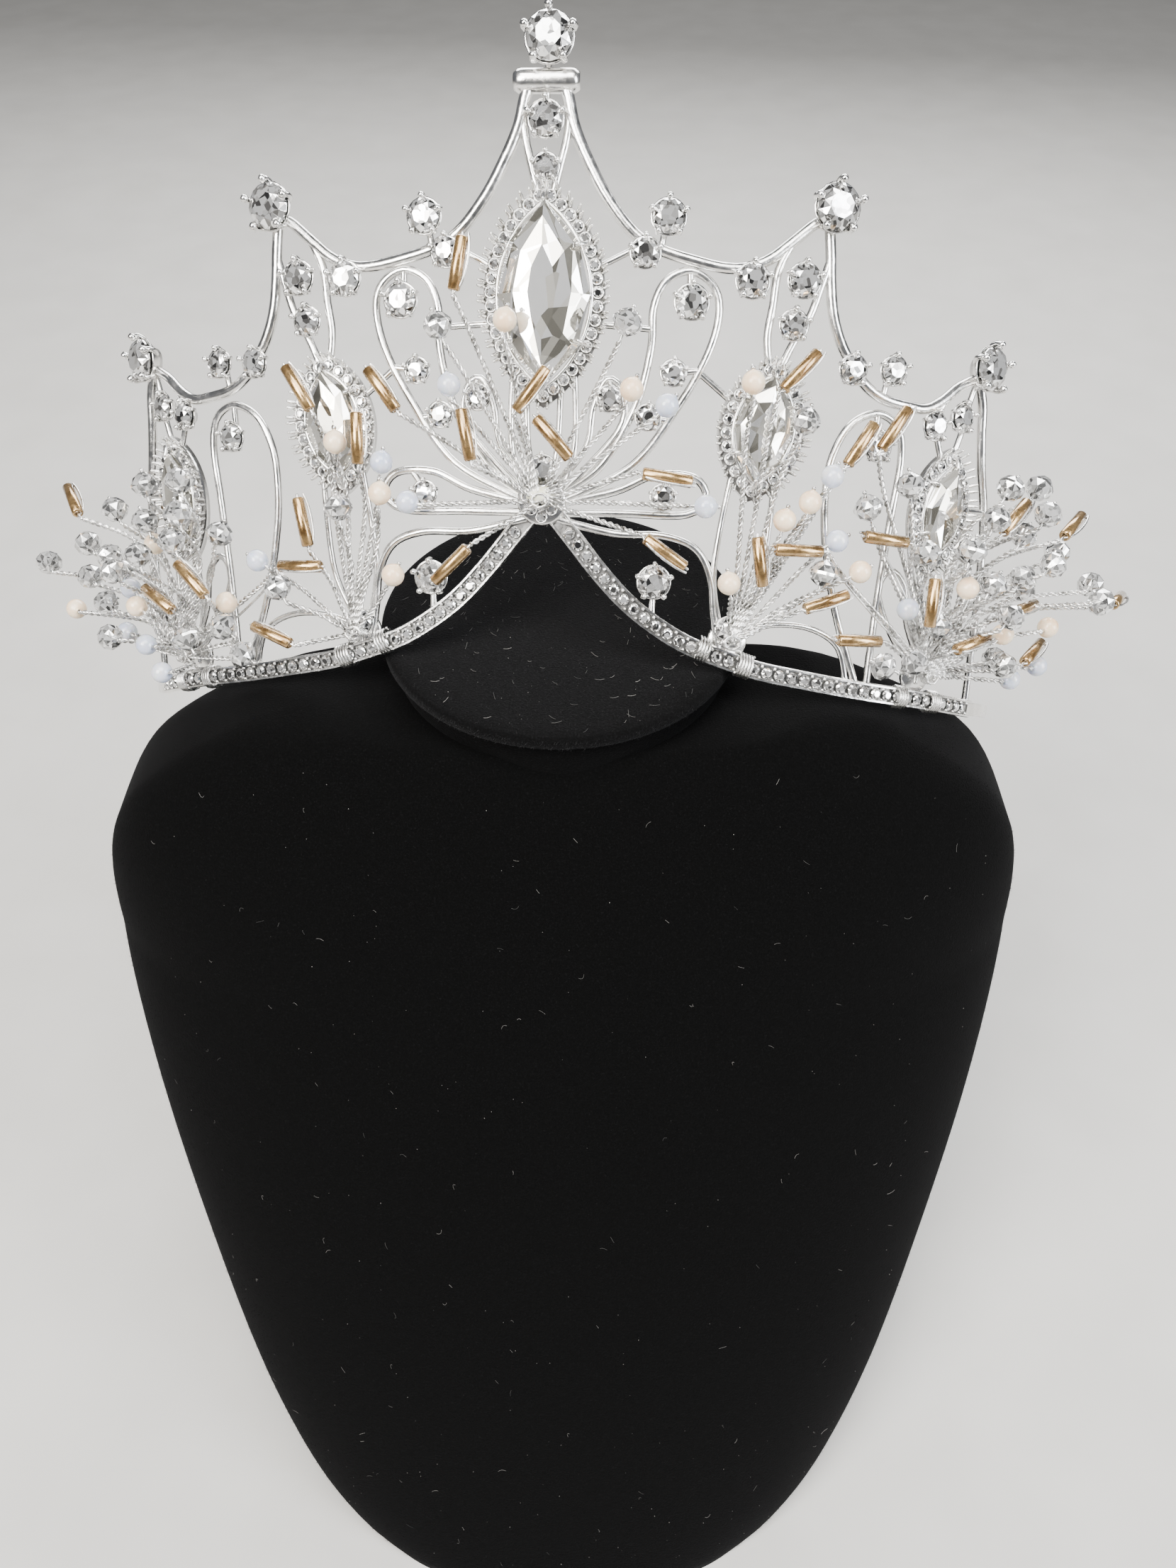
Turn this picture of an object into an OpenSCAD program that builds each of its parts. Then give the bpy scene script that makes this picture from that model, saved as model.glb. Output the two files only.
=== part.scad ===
// Bridal tiara with wired bead sprays, resting on a black velvet neck bust.
// Millimetres, Z up. The origin is on the table, straight below the neck's pad.

/* [Bust] */
// Height of the neck's flat pad above the table
neck_top_z = 180.5; // [165:0.5:195]
// Radius of the neck's flat pad
neck_cap_r = 36; // [30:0.5:38]
// Thickness of the pad
neck_cap_t = 3; // [2:0.5:5]
// How far the neck is set in below the pad's edge
neck_inset = 2; // [1:0.5:4]
// Greatest width of the chest
chest_w = 192; // [170:1:210]
// How far the shoulders' upper edge lies below the pad
neck_rise = 8.5; // [7.5:0.5:20]
// How far the chest comes forward at the foot
foot_y = 134; // [120:1:150]
// Lean of the chest's front from upright
chest_lean = 30.5; // [26:0.5:33]
// How far the foot reaches behind the neck's centre
back_y = 42; // [38:1:60]
// How far the shoulders' upper edge reaches behind the neck's centre
shoulder_back_y = 2; // [-4:0.5:10]

/* [Head curve] */
// Radius of the band's front arc, seen from above
front_r = 170; // [150:1:190]
// Length of the front arc, from the middle to one side
front_half = 63; // [55:1:70]
// Radius of the band's side arcs
side_r = 56; // [50:1:65]
// Outward flare of the spires
flare = 6; // [3:0.5:9]
// Length along the band from the middle to the last stone
half_span = 100; // [94:1:106]
// Height of the middle spire up to its crest post
spire_rise = 100; // [94:1:106]

/* [Pose on the bust] */
// Backward lean of the tiara
lean = 40; // [36:0.5:42]
// Sideways tilt of the tiara
roll = -2; // [-3:0.5:0]
// Turn of the tiara about the vertical
yaw = -5.5; // [-8:0.5:-3]
// Place of the band's middle, across the bust
rest_x = -3.7; // [-6:0.1:-1]
// Place of the band's middle, in front of the neck's centre
rest_y = 19.1; // [18:0.1:24]
// Height of the band's middle above the neck's pad
rest_z = 1.05; // [1:0.05:6]

/* [Band] */
// Width of the jewelled band
band_w = 3.6; // [3.2:0.1:4.2]
// Thickness of the band
band_t = 1.8; // [1.6:0.1:2.4]
// Depth of the channel that holds the stones
channel_d = 0.7; // [0.5:0.1:0.8]
// Diameter of a band stone
band_stone_d = 2.2; // [2:0.1:2.3]
// Spacing of the band stones
band_pitch = 2.6; // [2.5:0.1:3]
// Length of the plain strip behind the last stone
strip_len = 24; // [16:1:30]
// Width of the plain strip
strip_w = 2.8; // [2.4:0.1:3.2]

/* [Frame wires] */
// Thickness of the arcs that join the spires
arc_d = 2; // [1.6:0.1:2.4]
// Thickness of the teardrop loops
loop_d = 1.5; // [1.2:0.1:1.8]
// Thickness of the stems
stem_d = 1.2; // [1:0.1:1.6]

/* [Stones] */
// Diameter of the three tallest crest stones
crest_d = 8; // [7:0.1:8.5]
// Diameter of the large round stones
large_d = 5.8; // [5.2:0.1:6.2]
// Diameter of the middle-sized round stones
middle_d = 5; // [4.6:0.1:5.4]
// Diameter of the small round stones
small_d = 4.3; // [4:0.1:4.6]
// Length of the centre navette
navette_a_len = 31; // [29:0.5:32]
// Width of the centre navette
navette_a_w = 16.5; // [15:0.5:17]
// Length of the middle navettes
navette_b_len = 19; // [17:0.5:20]
// Width of the middle navettes
navette_b_w = 11; // [10:0.5:11.5]
// Length of the outer navettes
navette_c_len = 18; // [16:0.5:19]
// Width of the outer navettes
navette_c_w = 9.5; // [8.5:0.5:10]
// Width of the halo plate round a navette
halo_w = 2.6; // [2.2:0.1:3]
// Gap between a stone and its seat
seat_gap = 0.15; // [0.12:0.01:0.2]

/* [Beads] */
// Diameter of a pearl
pearl_d = 4.2; // [3.8:0.1:4.6]
// Diameter of an opal bead
opal_d = 4.2; // [3.8:0.1:4.6]
// Diameter of a crystal bead
crystal_d = 5.4; // [5:0.1:6]
// Diameter of a bugle bead
bugle_d = 2.3; // [2:0.1:2.6]
// Length of a bugle bead
bugle_len = 9; // [8:0.5:10]
// Diameter of the bound spray wire
wire_d = 0.8; // [0.6:0.1:1]
// Gap round the wire in a bead's bore
bore_gap = 0.15; // [0.12:0.01:0.25]

/* [Hidden] */
SIDES = ["l", "r"];

// Paired round stones: name, place across and up in hundredths of half_span and spire_rise,
// diameter, and the place on a wire that its post runs to.
PAIRS = [
    ["b_crest", 48.7, 83.2, crest_d, 48, 81.6],
    ["b_loop", 44.1, 70.9, large_d, 47.6, 70.4],
    ["b_small", 42.9, 63.4, middle_d, 45, 63.2],
    ["b_outer", 54.5, 56.7, middle_d, 53.8, 58.6],
    ["b_hub", 35, 9, middle_d, 35, 5],
    ["ab_tip", 20.4, 79.8, large_d, 19.4, 74.6],
    ["ab_side", 16.8, 73.9, middle_d, 17, 75.6],
    ["ab_arc", 35.1, 70.2, large_d, 34.4, 72.5],
    ["a_ring_top", 24.9, 66.1, large_d, 24.6, 71.4],
    ["a_ring_mid", 22.4, 54.2, small_d, 26.6, 54.8],
    ["v_arm", 20.5, 17.5, large_d, 20.5, 11.7],
    ["bc_tip", 62.4, 57.2, middle_d, 61.2, 52.3],
    ["bc_ring", 60.8, 43.6, middle_d, 60.6, 49.6],
    ["c_crest", 82.4, 60.2, crest_d, 81, 58],
    ["c_hub", 76, 5, middle_d, 76, 0],
    ["a_ring_low", 18.3, 46.5, small_d, 22, 46],
    ["inner_ring", 11.5, 49.5, small_d, 13.6, 49.2],
    ["side_ring", 21.5, 32.7, small_d, 24.2, 36.9],
    ["c_side", 71.8, 48.4, middle_d, 73, 50.2],
    ["c_loop", 77.8, 50.6, middle_d, 79.6, 51.6],
];
OWN_PAIRS = 15; // the rows after these make up the node small_stones
MIDDLES = [
    ["a_crest", 0.5, 107.2, crest_d, 0, 101],
    ["a_loop", 0, 94.8, large_d, 0, 101],
    ["a_small", 0, 87.4, small_d, 2.3, 87.4],
    ["a_hub", 0, 37, middle_d, 0, 32],
];
// Navettes: name, place across and up, lean in degrees, length, width
NAVETTES = [
    ["a_navette", 0, 66.5, 0, navette_a_len, navette_a_w],
    ["b_navette", 38.8, 45.2, -8, navette_b_len, navette_b_w],
    ["c_navette", 76, 32.8, -8, navette_c_len, navette_c_w],
];
// Middle line of the band's right half, from the hub down its arm and back along the side
BAND = [
    [1.5, 30], [6, 24.5], [10.5, 19], [15.5, 13.8], [21, 9.6], [27, 6.2], [33, 4], [41, 1.6], [50, 0],
    [62, -1.8], [76, -3.4], [88, -4.8], [96, -5.6],
];
// Collar that carries the middle spire's crest
COLLAR = [[-4, 101], [0, 101], [4, 101]];
// Wires of the right half: thickness at both ends, then the points of the route
WIRES = [
    [1.1 * arc_d, arc_d, [[2.6, 101.4], [3.5, 98.5], [4.6, 93.8], [7, 88.4], [10.3, 82.6], [14.8, 77.2],
        [19.4, 74.6], [26, 72.9], [30.5, 72.2], [34.4, 72.5], [38.2, 74.2], [41.6, 77], [45.6, 80.5], [48, 81.6]]],
    [arc_d, arc_d, [[48, 81.8], [48.8, 76], [49.3, 71], [50.2, 66], [51.7, 62], [53.8, 58.6], [57.2, 54.6],
        [61.2, 52.3], [66, 51.4], [70, 51.3], [73.6, 53.2], [77, 56.1], [81, 58.2]]],
    [arc_d, 0.8 * arc_d, [[81.6, 58.4], [83.8, 53.8], [84.9, 48], [86.6, 41.5], [89.4, 34], [91.6, 24], [93, 12],
        [94.5, -4]]],
    [loop_d, loop_d, [[2.8, 100], [3.7, 96], [3.4, 92], [2.3, 87.4], [1.2, 83]]],
    [loop_d, loop_d, [[3.8, 33], [10.4, 38], [16, 48], [18.4, 58], [18.6, 65], [20.6, 69.6], [24.6, 71.4],
        [28.4, 69.4], [29.9, 65.2], [28.6, 58.4], [24.2, 49.6], [16, 38.2], [3.5, 31.6]]],
    [stem_d, loop_d, [[2, 34], [7.6, 41], [8.8, 48], [11, 52.8], [13.6, 51], [13.3, 44], [3, 32.4]]],
    [loop_d, loop_d, [[2.5, 31], [13, 33.5], [20, 36.6], [27, 36.4], [29.4, 33], [26, 29.8], [14, 29.6], [2.5, 29.4]]],
    [loop_d, loop_d, [[2.5, 28.4], [13, 26], [22, 25.8], [28, 23.6], [31, 18.5], [32, 12], [33.2, 5.6]]],
    [loop_d, loop_d, [[42.2, 77.6], [39.8, 72.5], [39.2, 66.5], [38.6, 61], [39.4, 55.6]]],
    [loop_d, loop_d, [[48.9, 75], [47.6, 70.4], [46, 65.2], [43.4, 60.6], [41.4, 56]]],
    [stem_d, stem_d, [[36, 8], [43, 10.2], [51, 9.8], [57, 6.5], [59.4, 0.1]]],
    [loop_d, loop_d, [[61.3, -0.1], [55.6, 14], [52.4, 27], [51.8, 37], [53, 43], [55.9, 47.6], [60.6, 49.6],
        [64.8, 47.4], [66.2, 41.6], [65.4, 31], [64.4, 15], [64, -0.4]]],
    [stem_d, loop_d, [[75, 2.4], [68.5, 9], [64.5, 17], [66.5, 21.2], [70, 18.5], [72, 11], [77, 3]]],
    [loop_d, stem_d, [[77, 56.2], [74.2, 53.2], [72.6, 49], [74.6, 43.2]]],
    [stem_d, stem_d, [[81.4, 57.6], [80, 53], [79, 47.6], [77.6, 43.2]]],
];
// Stems and short links of the right half
STEMS = [
    [[82, 33.6], [89.4, 34]],
    [[0.9, 33], [2.6, 41], [3, 51.5]],
    [[3, 31.8], [5.6, 41], [5.4, 54.3]],
    [[33.5, 9], [31.6, 20], [34, 38.6]],
    [[36, 9], [40.5, 19], [41.8, 36.2]],
    [[75, 3], [73, 13], [74.4, 22.6]],
    [[77, 3], [80.6, 13], [80, 27]],
    [[8.5, 71.2], [17, 75.6]],
    [[9.2, 62], [18.5, 61.5]],
    [[26.6, 54.8], [32.8, 50]],
];
// Hubs that the stems and the sprays start from: place across and up, radius
HUBS = [[0, 31.5, 4.6], [35, 7, 3.8], [76, 1.5, 3.8]];
HUB_OUT = 3.4; // how far the bundles stand out from the hubs' middle plane
RISE_RUN = 7; // length over which a stem rises to its bead
LIFT = 0.03; // how far a stem rises before that, as a share of its length

// Beads on their stems: kind, hub, place across and up, distance outward, turn of the bead's axis.
// Hub numbers below zero are the hubs on the left.
BEADS = [
    ["bugle", 0, -13.5, 71, 6, 80], ["pearl", 0, -5.5, 61.5, 8, 80], ["crystal", 0, 14, 61.5, 7, 70],
    ["crystal", 0, -17, 61, 6, 110], ["opal", 0, -15, 51, 7, 100], ["pearl", 0, 15, 50.5, 8, 70],
    ["bugle", 0, -1, 50, 9, 55], ["bugle", 0, 2.6, 42, 10, 130], ["bugle", 0, -12, 42.5, 8, 100],
    ["bugle", 0, -27, 50.5, 6, 125], ["opal", -1, -27.5, 38, 6, 80], ["pearl", -1, -27, 32.5, 8.5, 80],
    ["opal", 0, -23, 31, 6, 170], ["opal", 0, 28.2, 31.3, 7, 0], ["bugle", 0, 21.5, 36, 7, -8],
    ["opal", 0, 21, 48.2, 6, 50], ["bugle", 0, -15.4, 20, 6, 225], ["bugle", 0, 21.8, 23, 6, -35],
    ["pearl", -1, -26, 18, 6, 60], ["pearl", 1, 33, 18, 7, 100],
    ["pearl", 1, 34.7, 52.5, 8, 95], ["bugle", 1, 42.8, 55, 7, 50], ["crystal", 1, 43.7, 46.5, 9, 75],
    ["opal", 1, 49.5, 37.5, 8, 70], ["pearl", 1, 45.6, 32.8, 9, 80], ["pearl", 1, 42, 29.5, 7, 80],
    ["bugle", 2, 44.5, 24.3, 8.5, 180], ["bugle", 1, 38.2, 22, 7, 100], ["opal", 1, 52.5, 26.3, 5.5, 30],
    ["bugle", 2, 60.5, 27, 8, 175], ["pearl", 1, 56.5, 21, 7.5, 30], ["crystal", 2, 57.5, 32.5, 6, 110],
    ["crystal", 2, 65, 37, 6, 100], ["bugle", 2, 60.5, 46.5, 7, 60], ["bugle", 1, 55, 43.5, 6, 60],
    ["bugle", 1, 51.5, 15.2, 5.5, 20], ["bugle", 2, 59, 8.2, 5, 180], ["opal", 2, 67, 14.5, 6.5, 120],
    ["bugle", 2, 95, 33, 16, 40], ["pearl", 2, 96, 13, 14, 20], ["crystal", 2, 90, 25, 16, 40],
    ["crystal", 2, 93, 20, 9, 30], ["opal", 2, 99, 5, 12, 10], ["crystal", 2, 89.5, 5.5, 7.5, 10],
    ["bugle", 2, 104, 20, 24, 20],
    ["crystal", -2, -100, 22, 20, 140], ["bugle", -2, -93, 34, 15, 130], ["crystal", -2, -90, 25, 14, 140],
    ["pearl", -2, -98, 12, 16, 165], ["pearl", -2, -75.5, 24, 8, 100], ["crystal", -2, -60.5, 25.5, 7, 60],
    ["opal", -1, -52.5, 20.5, 7, 150], ["opal", -2, -91, 6.6, 8, 170], ["opal", -2, -84, 15.5, 9, 150],
    ["pearl", -2, -61, 12.5, 6, 45], ["pearl", -1, -35, 41.5, 8, 90], ["bugle", -1, -41.5, 51, 8, 120],
    ["bugle", -1, -30.5, 42, 9, 90], ["bugle", -2, -43, 19.5, 8, 0], ["bugle", -1, -42.5, 27.5, 7, 100],
    ["crystal", -1, -35, 30, 8, 95],
];

STONE_SIDES = 8;
BAND_STONE_SIDES = 6;
CLAWS = 5;
CUP_RISE = 0.22; // a cup's height as a share of its stone's diameter
RIM = 0.35; // how far a cup's rim shows round its stone
CLAWED = 7; // stones wider than this have claws
GIRDLE = 0.1; // shares of a stone's diameter: its girdle, crown and table
CROWN = 0.15;
TABLE = 0.56;
STEP = 11; // longest straight stretch in a wire's route
WIRE_SIDES = 4;
STEM_SIDES = 3;
plate_t = 1.8; // thickness of a halo plate
claw_d = 0.9; // thickness of a claw
hub_t = 2.2; // thickness of a hub plate
bundle_r = 3.4; // radius of the drop of glue that gathers a hub's stems
channel_w = band_stone_d + 0.4;
cap_z = neck_top_z - neck_cap_t;
shoulder_z = neck_top_z - neck_rise;
band_half = BAND[len(BAND) - 1];

function flip(p, s) = [for (q = p) concat([s * q[0]], [for (i = [1:len(q) - 1]) q[i]])];
function side(s) = s == "l" ? -1 : 1;
function unit(a) = a / norm(a);

// The head curve: heading, place across and place back at a distance along it from the middle
deg = 180 / PI;
front_turn = front_half / front_r * deg;
function heading(s) = sign(s) * (abs(s) < front_half ? abs(s) / front_r * deg
    : min(90, front_turn + (abs(s) - front_half) / side_r * deg));
function past(s) = max(0, abs(s) - front_half - (90 - front_turn) / deg * side_r);
function across(s) = let(h = abs(heading(s))) sign(s) * (h < front_turn ? front_r * sin(h)
    : front_r * sin(front_turn) + side_r * (sin(h) - sin(front_turn)));
function back(s) = let(h = abs(heading(s))) past(s) + (h < front_turn ? front_r * (1 - cos(h))
    : front_r * (1 - cos(front_turn)) + side_r * (cos(front_turn) - cos(h)));

// A point of the tiara's flat layout, [across, up, outward], laid round the head curve
function out_of(p) = len(p) > 2 ? p[2] * spire_rise / 100 : 0;
function wrap(p) = let(
    s = p[0] * half_span / 100,
    v = p[1] * spire_rise / 100,
    h = heading(s),
    o = v * tan(flare) + out_of(p) * cos(flare)
) [across(s) + o * sin(h), back(s) - o * cos(h), v - out_of(p) * sin(flare)];
function outward(p) = let(h = heading(p[0] * half_span / 100))
    [sin(h) * cos(flare), -cos(h) * cos(flare), -sin(flare)];

// A smooth route through chosen points
function blend(a, b, c, d, t) =
    0.5 * (2 * b + (c - a) * t + (2 * a - 5 * b + 4 * c - d) * t * t + (3 * b - a - 3 * c + d) * t * t * t);
function smooth(p, step) = let(n = len(p)) concat(
    [for (i = [0:n - 2])
        let(a = p[max(i - 1, 0)], b = p[i], c = p[i + 1], d = p[min(i + 2, n - 1)])
        let(k = max(1, ceil(norm(c - b) / step)))
        for (j = [0:k - 1]) blend(a, b, c, d, j / k)],
    [p[n - 1]]);

// A solid through equal rings of points, closed at both ends
module skin(rings) {
    n = len(rings[0]);
    m = len(rings);
    polyhedron(
        points = [for (r = rings) each r],
        faces = concat(
            [[for (j = [0:n - 1]) j]],
            [for (i = [0:m - 2]) for (j = [0:n - 1])
                [i * n + j, (i + 1) * n + j, (i + 1) * n + (j + 1) % n, i * n + (j + 1) % n]],
            [[for (j = [0:n - 1]) m * n - 1 - j]]));
}

// A section swept along a route of the layout. The section's points are [sideways, outward] and
// grow from the first to the second scale.
module sweep(route, section, first = 1, last = 1) {
    c = [for (p = route) wrap(p)];
    m = len(c);
    skin([for (i = [0:m - 1])
        let(t = unit(c[min(i + 1, m - 1)] - c[max(i - 1, 0)]))
        let(across_dir = unit(cross(outward(route[i]), t)))
        let(out_dir = cross(t, across_dir))
        let(k = first + (last - first) * i / (m - 1))
        [for (q = section) c[i] + k * (q[0] * across_dir + q[1] * out_dir)]]);
}

function ring_of(r, n) = [for (i = [0:n - 1]) [r * cos(360 * i / n), r * sin(360 * i / n)]];

module wire(points, d1, d2, step = STEP, sides = WIRE_SIDES) {
    sweep(smooth(points, step), ring_of(0.5, sides), d1, d2);
}

// Stands a child on the tiara's surface: its z axis points outward and its y axis up the spire
module at(p, turn = 0) {
    translate(wrap(p)) rotate([90 + flare, 0, heading(p[0] * half_span / 100)]) rotate([0, 0, turn])
        children();
}

module posed() {
    translate([rest_x, -rest_y, neck_top_z + rest_z]) rotate([0, 0, yaw]) rotate([-lean, 0, 0])
        rotate([0, roll, 0]) children();
}

// Bust: sections up the chest. Height as a share of shoulder_z, half-width as a share of chest_w / 2
CHEST = [
    [0, 0.46], [0.03, 0.56], [0.09, 0.66], [0.2, 0.765], [0.36, 0.865], [0.53, 0.95], [0.69, 1],
    [0.8, 0.995], [0.87, 0.94], [0.92, 0.84], [0.96, 0.72], [0.985, 0.63], [1, 0.535],
];
SECTION_POINTS = 22;
chest_round = 0.35; // how far the chest's sides fall back, as a share of the half-width
NECK_ROOT = [-0.28, 0.55, 0.8]; // root of the neck inside the chest: shares of its radius, height and radius

function chest_front(z) = -foot_y + z * tan(chest_lean);
function chest_back(z) = back_y + (shoulder_back_y - back_y) * z / shoulder_z;
function chest_point(w, z, a) = let(
    yf = chest_front(z),
    yb = chest_back(z),
    fall = min(chest_round * w, 0.45 * (yb - yf)),
    x = cos(a),
    y = sin(a)
) y <= 0
    ? [w * sign(x) * pow(abs(x), 0.8), yf + fall - fall * pow(abs(y), 1.1), z]
    : [w * sign(x) * pow(abs(x), 0.25), yf + fall + (yb - yf - fall) * pow(y, 0.35), z];

module neck_bust() {
    neck_r = neck_cap_r - neck_inset;
    color("#141414") union() {
        skin([for (row = CHEST)
            [for (i = [0:SECTION_POINTS - 1])
                chest_point(row[1] * chest_w / 2, row[0] * shoulder_z, 360 * (i + 0.5) / SECTION_POINTS)]]);
        hull() {
            translate([0, 0, shoulder_z]) cylinder(h = cap_z - shoulder_z, r = neck_r, $fn = 24);
            translate([0, NECK_ROOT[0] * neck_r, NECK_ROOT[1] * shoulder_z])
                cylinder(h = 1, r = NECK_ROOT[2] * neck_r, $fn = 24);
        }
    }
}

module neck_cap() {
    color("#1c1c1c") translate([0, 0, cap_z]) cylinder(h = neck_cap_t, r = neck_cap_r, $fn = 96);
}

// A clawed stone has a flat of its girdle behind each claw
function sides_of(d) = d > CLAWED ? 2 * CLAWS : STONE_SIDES;

// Round stone with a flat table and a flat back. Its seat is at height zero.
module cut_stone(d) {
    color("#eef2f5") {
        cylinder(h = GIRDLE * d, d = d, $fn = sides_of(d));
        translate([0, 0, GIRDLE * d]) cylinder(h = CROWN * d, d1 = d, d2 = TABLE * d, $fn = sides_of(d));
    }
}

module placed_stone(row, s) {
    posed() at([s * row[1], row[2]]) translate([0, 0, CUP_RISE * row[3] + seat_gap]) cut_stone(row[3]);
}

// Cup for a round stone, with claws round the larger ones. The first claw points up the spire.
module cup(d) {
    rise = CUP_RISE * d;
    translate([0, 0, -0.15 * d]) cylinder(h = rise + 0.15 * d, d1 = 0.6 * d, d2 = d + 2 * RIM, $fn = sides_of(d));
    if (d > CLAWED) for (i = [0:CLAWS - 1]) rotate([0, 0, 90 + 360 * i / CLAWS])
        translate([d / 2 * cos(180 / sides_of(d)) + seat_gap + claw_d / 2, 0, rise / 2]) hull() {
            cylinder(h = rise / 2 + (GIRDLE + 0.5 * CROWN) * d, d = claw_d, $fn = 4);
            cylinder(h = rise / 2 + (GIRDLE + 0.7 * CROWN) * d, d = claw_d / 2, $fn = 4);
        }
}

// Outline of a navette: two arcs that meet in points, with a number of points on each arc
function navette(len, w, n) = let(
    a = w / 2,
    b = len / 2,
    r = (a * a + b * b) / (2 * a),
    m = asin(b / r)
) [for (s = [1, -1]) for (i = [0:n - 1])
    let(t = -m + 2 * m * i / n) [s * (r * cos(t) - r + a), s * r * sin(t)]];

module cut_navette(length, w) {
    n = 6;
    function layer(k, z) = [for (p = navette(length * k, w * k, n)) [p[0], p[1], z]];
    color("#f4f6f8") skin([
        layer(0.12, -0.2 * w), layer(1, 0), layer(1, 0.08 * w), layer(0.8, 0.19 * w), layer(0.55, 0.24 * w),
    ]);
}

module placed_navette(row, s) {
    posed() at([s * row[1], row[2]], s * row[3]) translate([0, 0, plate_t / 2 + seat_gap])
        cut_navette(row[4], row[5]);
}

// Halo plate round a navette, with a claw at each point
module halo(length, w) {
    n = 6;
    difference() {
        translate([0, 0, -plate_t / 2]) linear_extrude(plate_t)
            polygon(navette(length + 2.6 * halo_w, w + 2 * halo_w, n));
        translate([0, 0, -plate_t / 2 - 1]) linear_extrude(plate_t + 2)
            polygon(navette(length - 0.6, w - 0.4, n));
    }
    for (k = [-1, 1]) translate([0, k * (length / 2 + claw_d), 0])
        cylinder(h = plate_t / 2 + 0.16 * w, d = 1.3 * claw_d, $fn = 4);
}

module frame_half(s) {
    route = smooth(BAND, STEP);
    u = band_w / 2;
    c = channel_w / 2;
    o = band_t / 2;
    f = o - channel_d;
    sweep(flip(route, s), [[-u, -o], [u, -o], [u, o], [c, o], [c, f], [-c, f], [-c, o], [-u, o]]);
    strip_u = band_half[0] + 100 * strip_len / half_span;
    strip = [[band_half[0] - 1, band_half[1]], [strip_u, band_half[1] - 1.5]];
    sweep(flip(smooth(strip, 5), s), [[-strip_w / 2, -0.6], [strip_w / 2, -0.6], [strip_w / 2, 0.6], [-strip_w / 2, 0.6]]);
    for (w = WIRES) wire(flip(w[2], s), w[0], w[1]);
    for (w = STEMS) wire(flip(w, s), stem_d, stem_d, STEP, STEM_SIDES);
    for (row = PAIRS) {
        at([s * row[1], row[2]]) cup(row[3]);
        wire([[s * row[1], row[2]], [s * row[4], row[5]]], stem_d, stem_d, STEP, STEM_SIDES);
    }
}

module navette_seat(row, s) {
    at([s * row[1], row[2]], s * row[3]) halo(row[4], row[5]);
}

module tiara_frame() {
    color("silver") posed() {
        for (s = [-1, 1]) {
            frame_half(s);
            for (i = [1, 2]) {
                navette_seat(NAVETTES[i], s);
                at([s * HUBS[i][0], HUBS[i][1]]) translate([0, 0, -hub_t / 2])
                    cylinder(h = hub_t / 2 + 0.1, r = HUBS[i][2], $fn = 8);
            }
        }
        navette_seat(NAVETTES[0], 1);
        wire(COLLAR, 2 * arc_d, 2 * arc_d);
        at([0, HUBS[0][1]]) translate([0, 0, -hub_t / 2]) cylinder(h = hub_t, r = HUBS[0][2], $fn = 8);
        for (row = MIDDLES) {
            at([row[1], row[2]]) cup(row[3]);
            wire([[row[1], row[2]], [row[4], row[5]]], 1.6 * stem_d, 1.6 * stem_d);
        }
    }
}

module small_stones() {
    for (s = [-1, 1]) for (i = [OWN_PAIRS:len(PAIRS) - 1]) placed_stone(PAIRS[i], s);
}

// Distance along the band's route against the place across and up
function along(p) = [for (i = 0, s = 0; i < len(p);
    s = s + (i < len(p) - 1 ? norm(wrap(p[i + 1]) - wrap(p[i])) : 0), i = i + 1) [s, p[i][0], p[i][1]]];

module band_stones(s) {
    run = along(smooth(BAND, 1));
    total = run[len(run) - 1][0];
    u_at = [for (r = run) [r[0], r[1]]];
    v_at = [for (r = run) [r[0], r[2]]];
    first = 5.5; // clear of the hub plate
    floor_z = band_t / 2 - channel_d;
    color("#e8edf2") posed() for (q = [first:band_pitch:total - 1.5]) {
        p = [lookup(q, u_at), lookup(q, v_at)];
        at([s * p[0], p[1]]) translate([0, 0, floor_z + seat_gap])
            cylinder(h = 0.9, d1 = band_stone_d, d2 = TABLE * band_stone_d, $fn = BAND_STONE_SIDES);
    }
}

// A spray's bundle over its hub
function hub_of(n) = n == 0 ? [0, HUBS[0][1]] : [sign(n) * HUBS[abs(n)][0], HUBS[abs(n)][1]];
function bead_place(b) = [b[2], b[3], b[4]];
function reach(b) = b[0] == "bugle" ? bugle_len / 2 + 0.6 : (b[0] == "crystal" ? crystal_d : pearl_d) / 2 + 0.5;
function lay_dir(b) = [cos(b[5]), sin(b[5]), 0];
function stem(b) = let(h = hub_of(b[1]), p = bead_place(b), d = lay_dir(b), r = reach(b),
    start = [h[0], h[1], HUB_OUT], near = p - d * r, run = near - start,
    mid = start + (1 - min(RISE_RUN / norm(run), 0.45)) * [run[0], run[1], 0] + [0, 0, LIFT * norm(run)])
    [start, mid, near, p + d * r];

// Stems of all the beads, each gathered in its hub's drop of glue
module spray_wires() {
    color("#d8dade") posed() {
        for (b = BEADS) wire(stem(b), wire_d, wire_d, 60, STEM_SIDES);
        for (n = [-2:2]) at(concat(hub_of(n), [HUB_OUT])) translate([0, 0, -0.7])
            cylinder(h = 1.4, r = bundle_r, $fn = STONE_SIDES);
    }
}

// Beads of one kind, each bored along its stem
module beads(kind) {
    posed() for (b = BEADS) if (b[0] == kind) {
        c0 = wrap(bead_place(b) - reach(b) * lay_dir(b));
        c1 = wrap(bead_place(b) + reach(b) * lay_dir(b));
        d = unit(c1 - c0);
        translate((c0 + c1) / 2) rotate([0, acos(d[2]), atan2(d[1], d[0])]) difference() {
            bead_shape(kind);
            cylinder(h = 2 * bugle_len, d = wire_d + 2 * bore_gap, center = true, $fn = 24);
        }
    }
}

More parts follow.
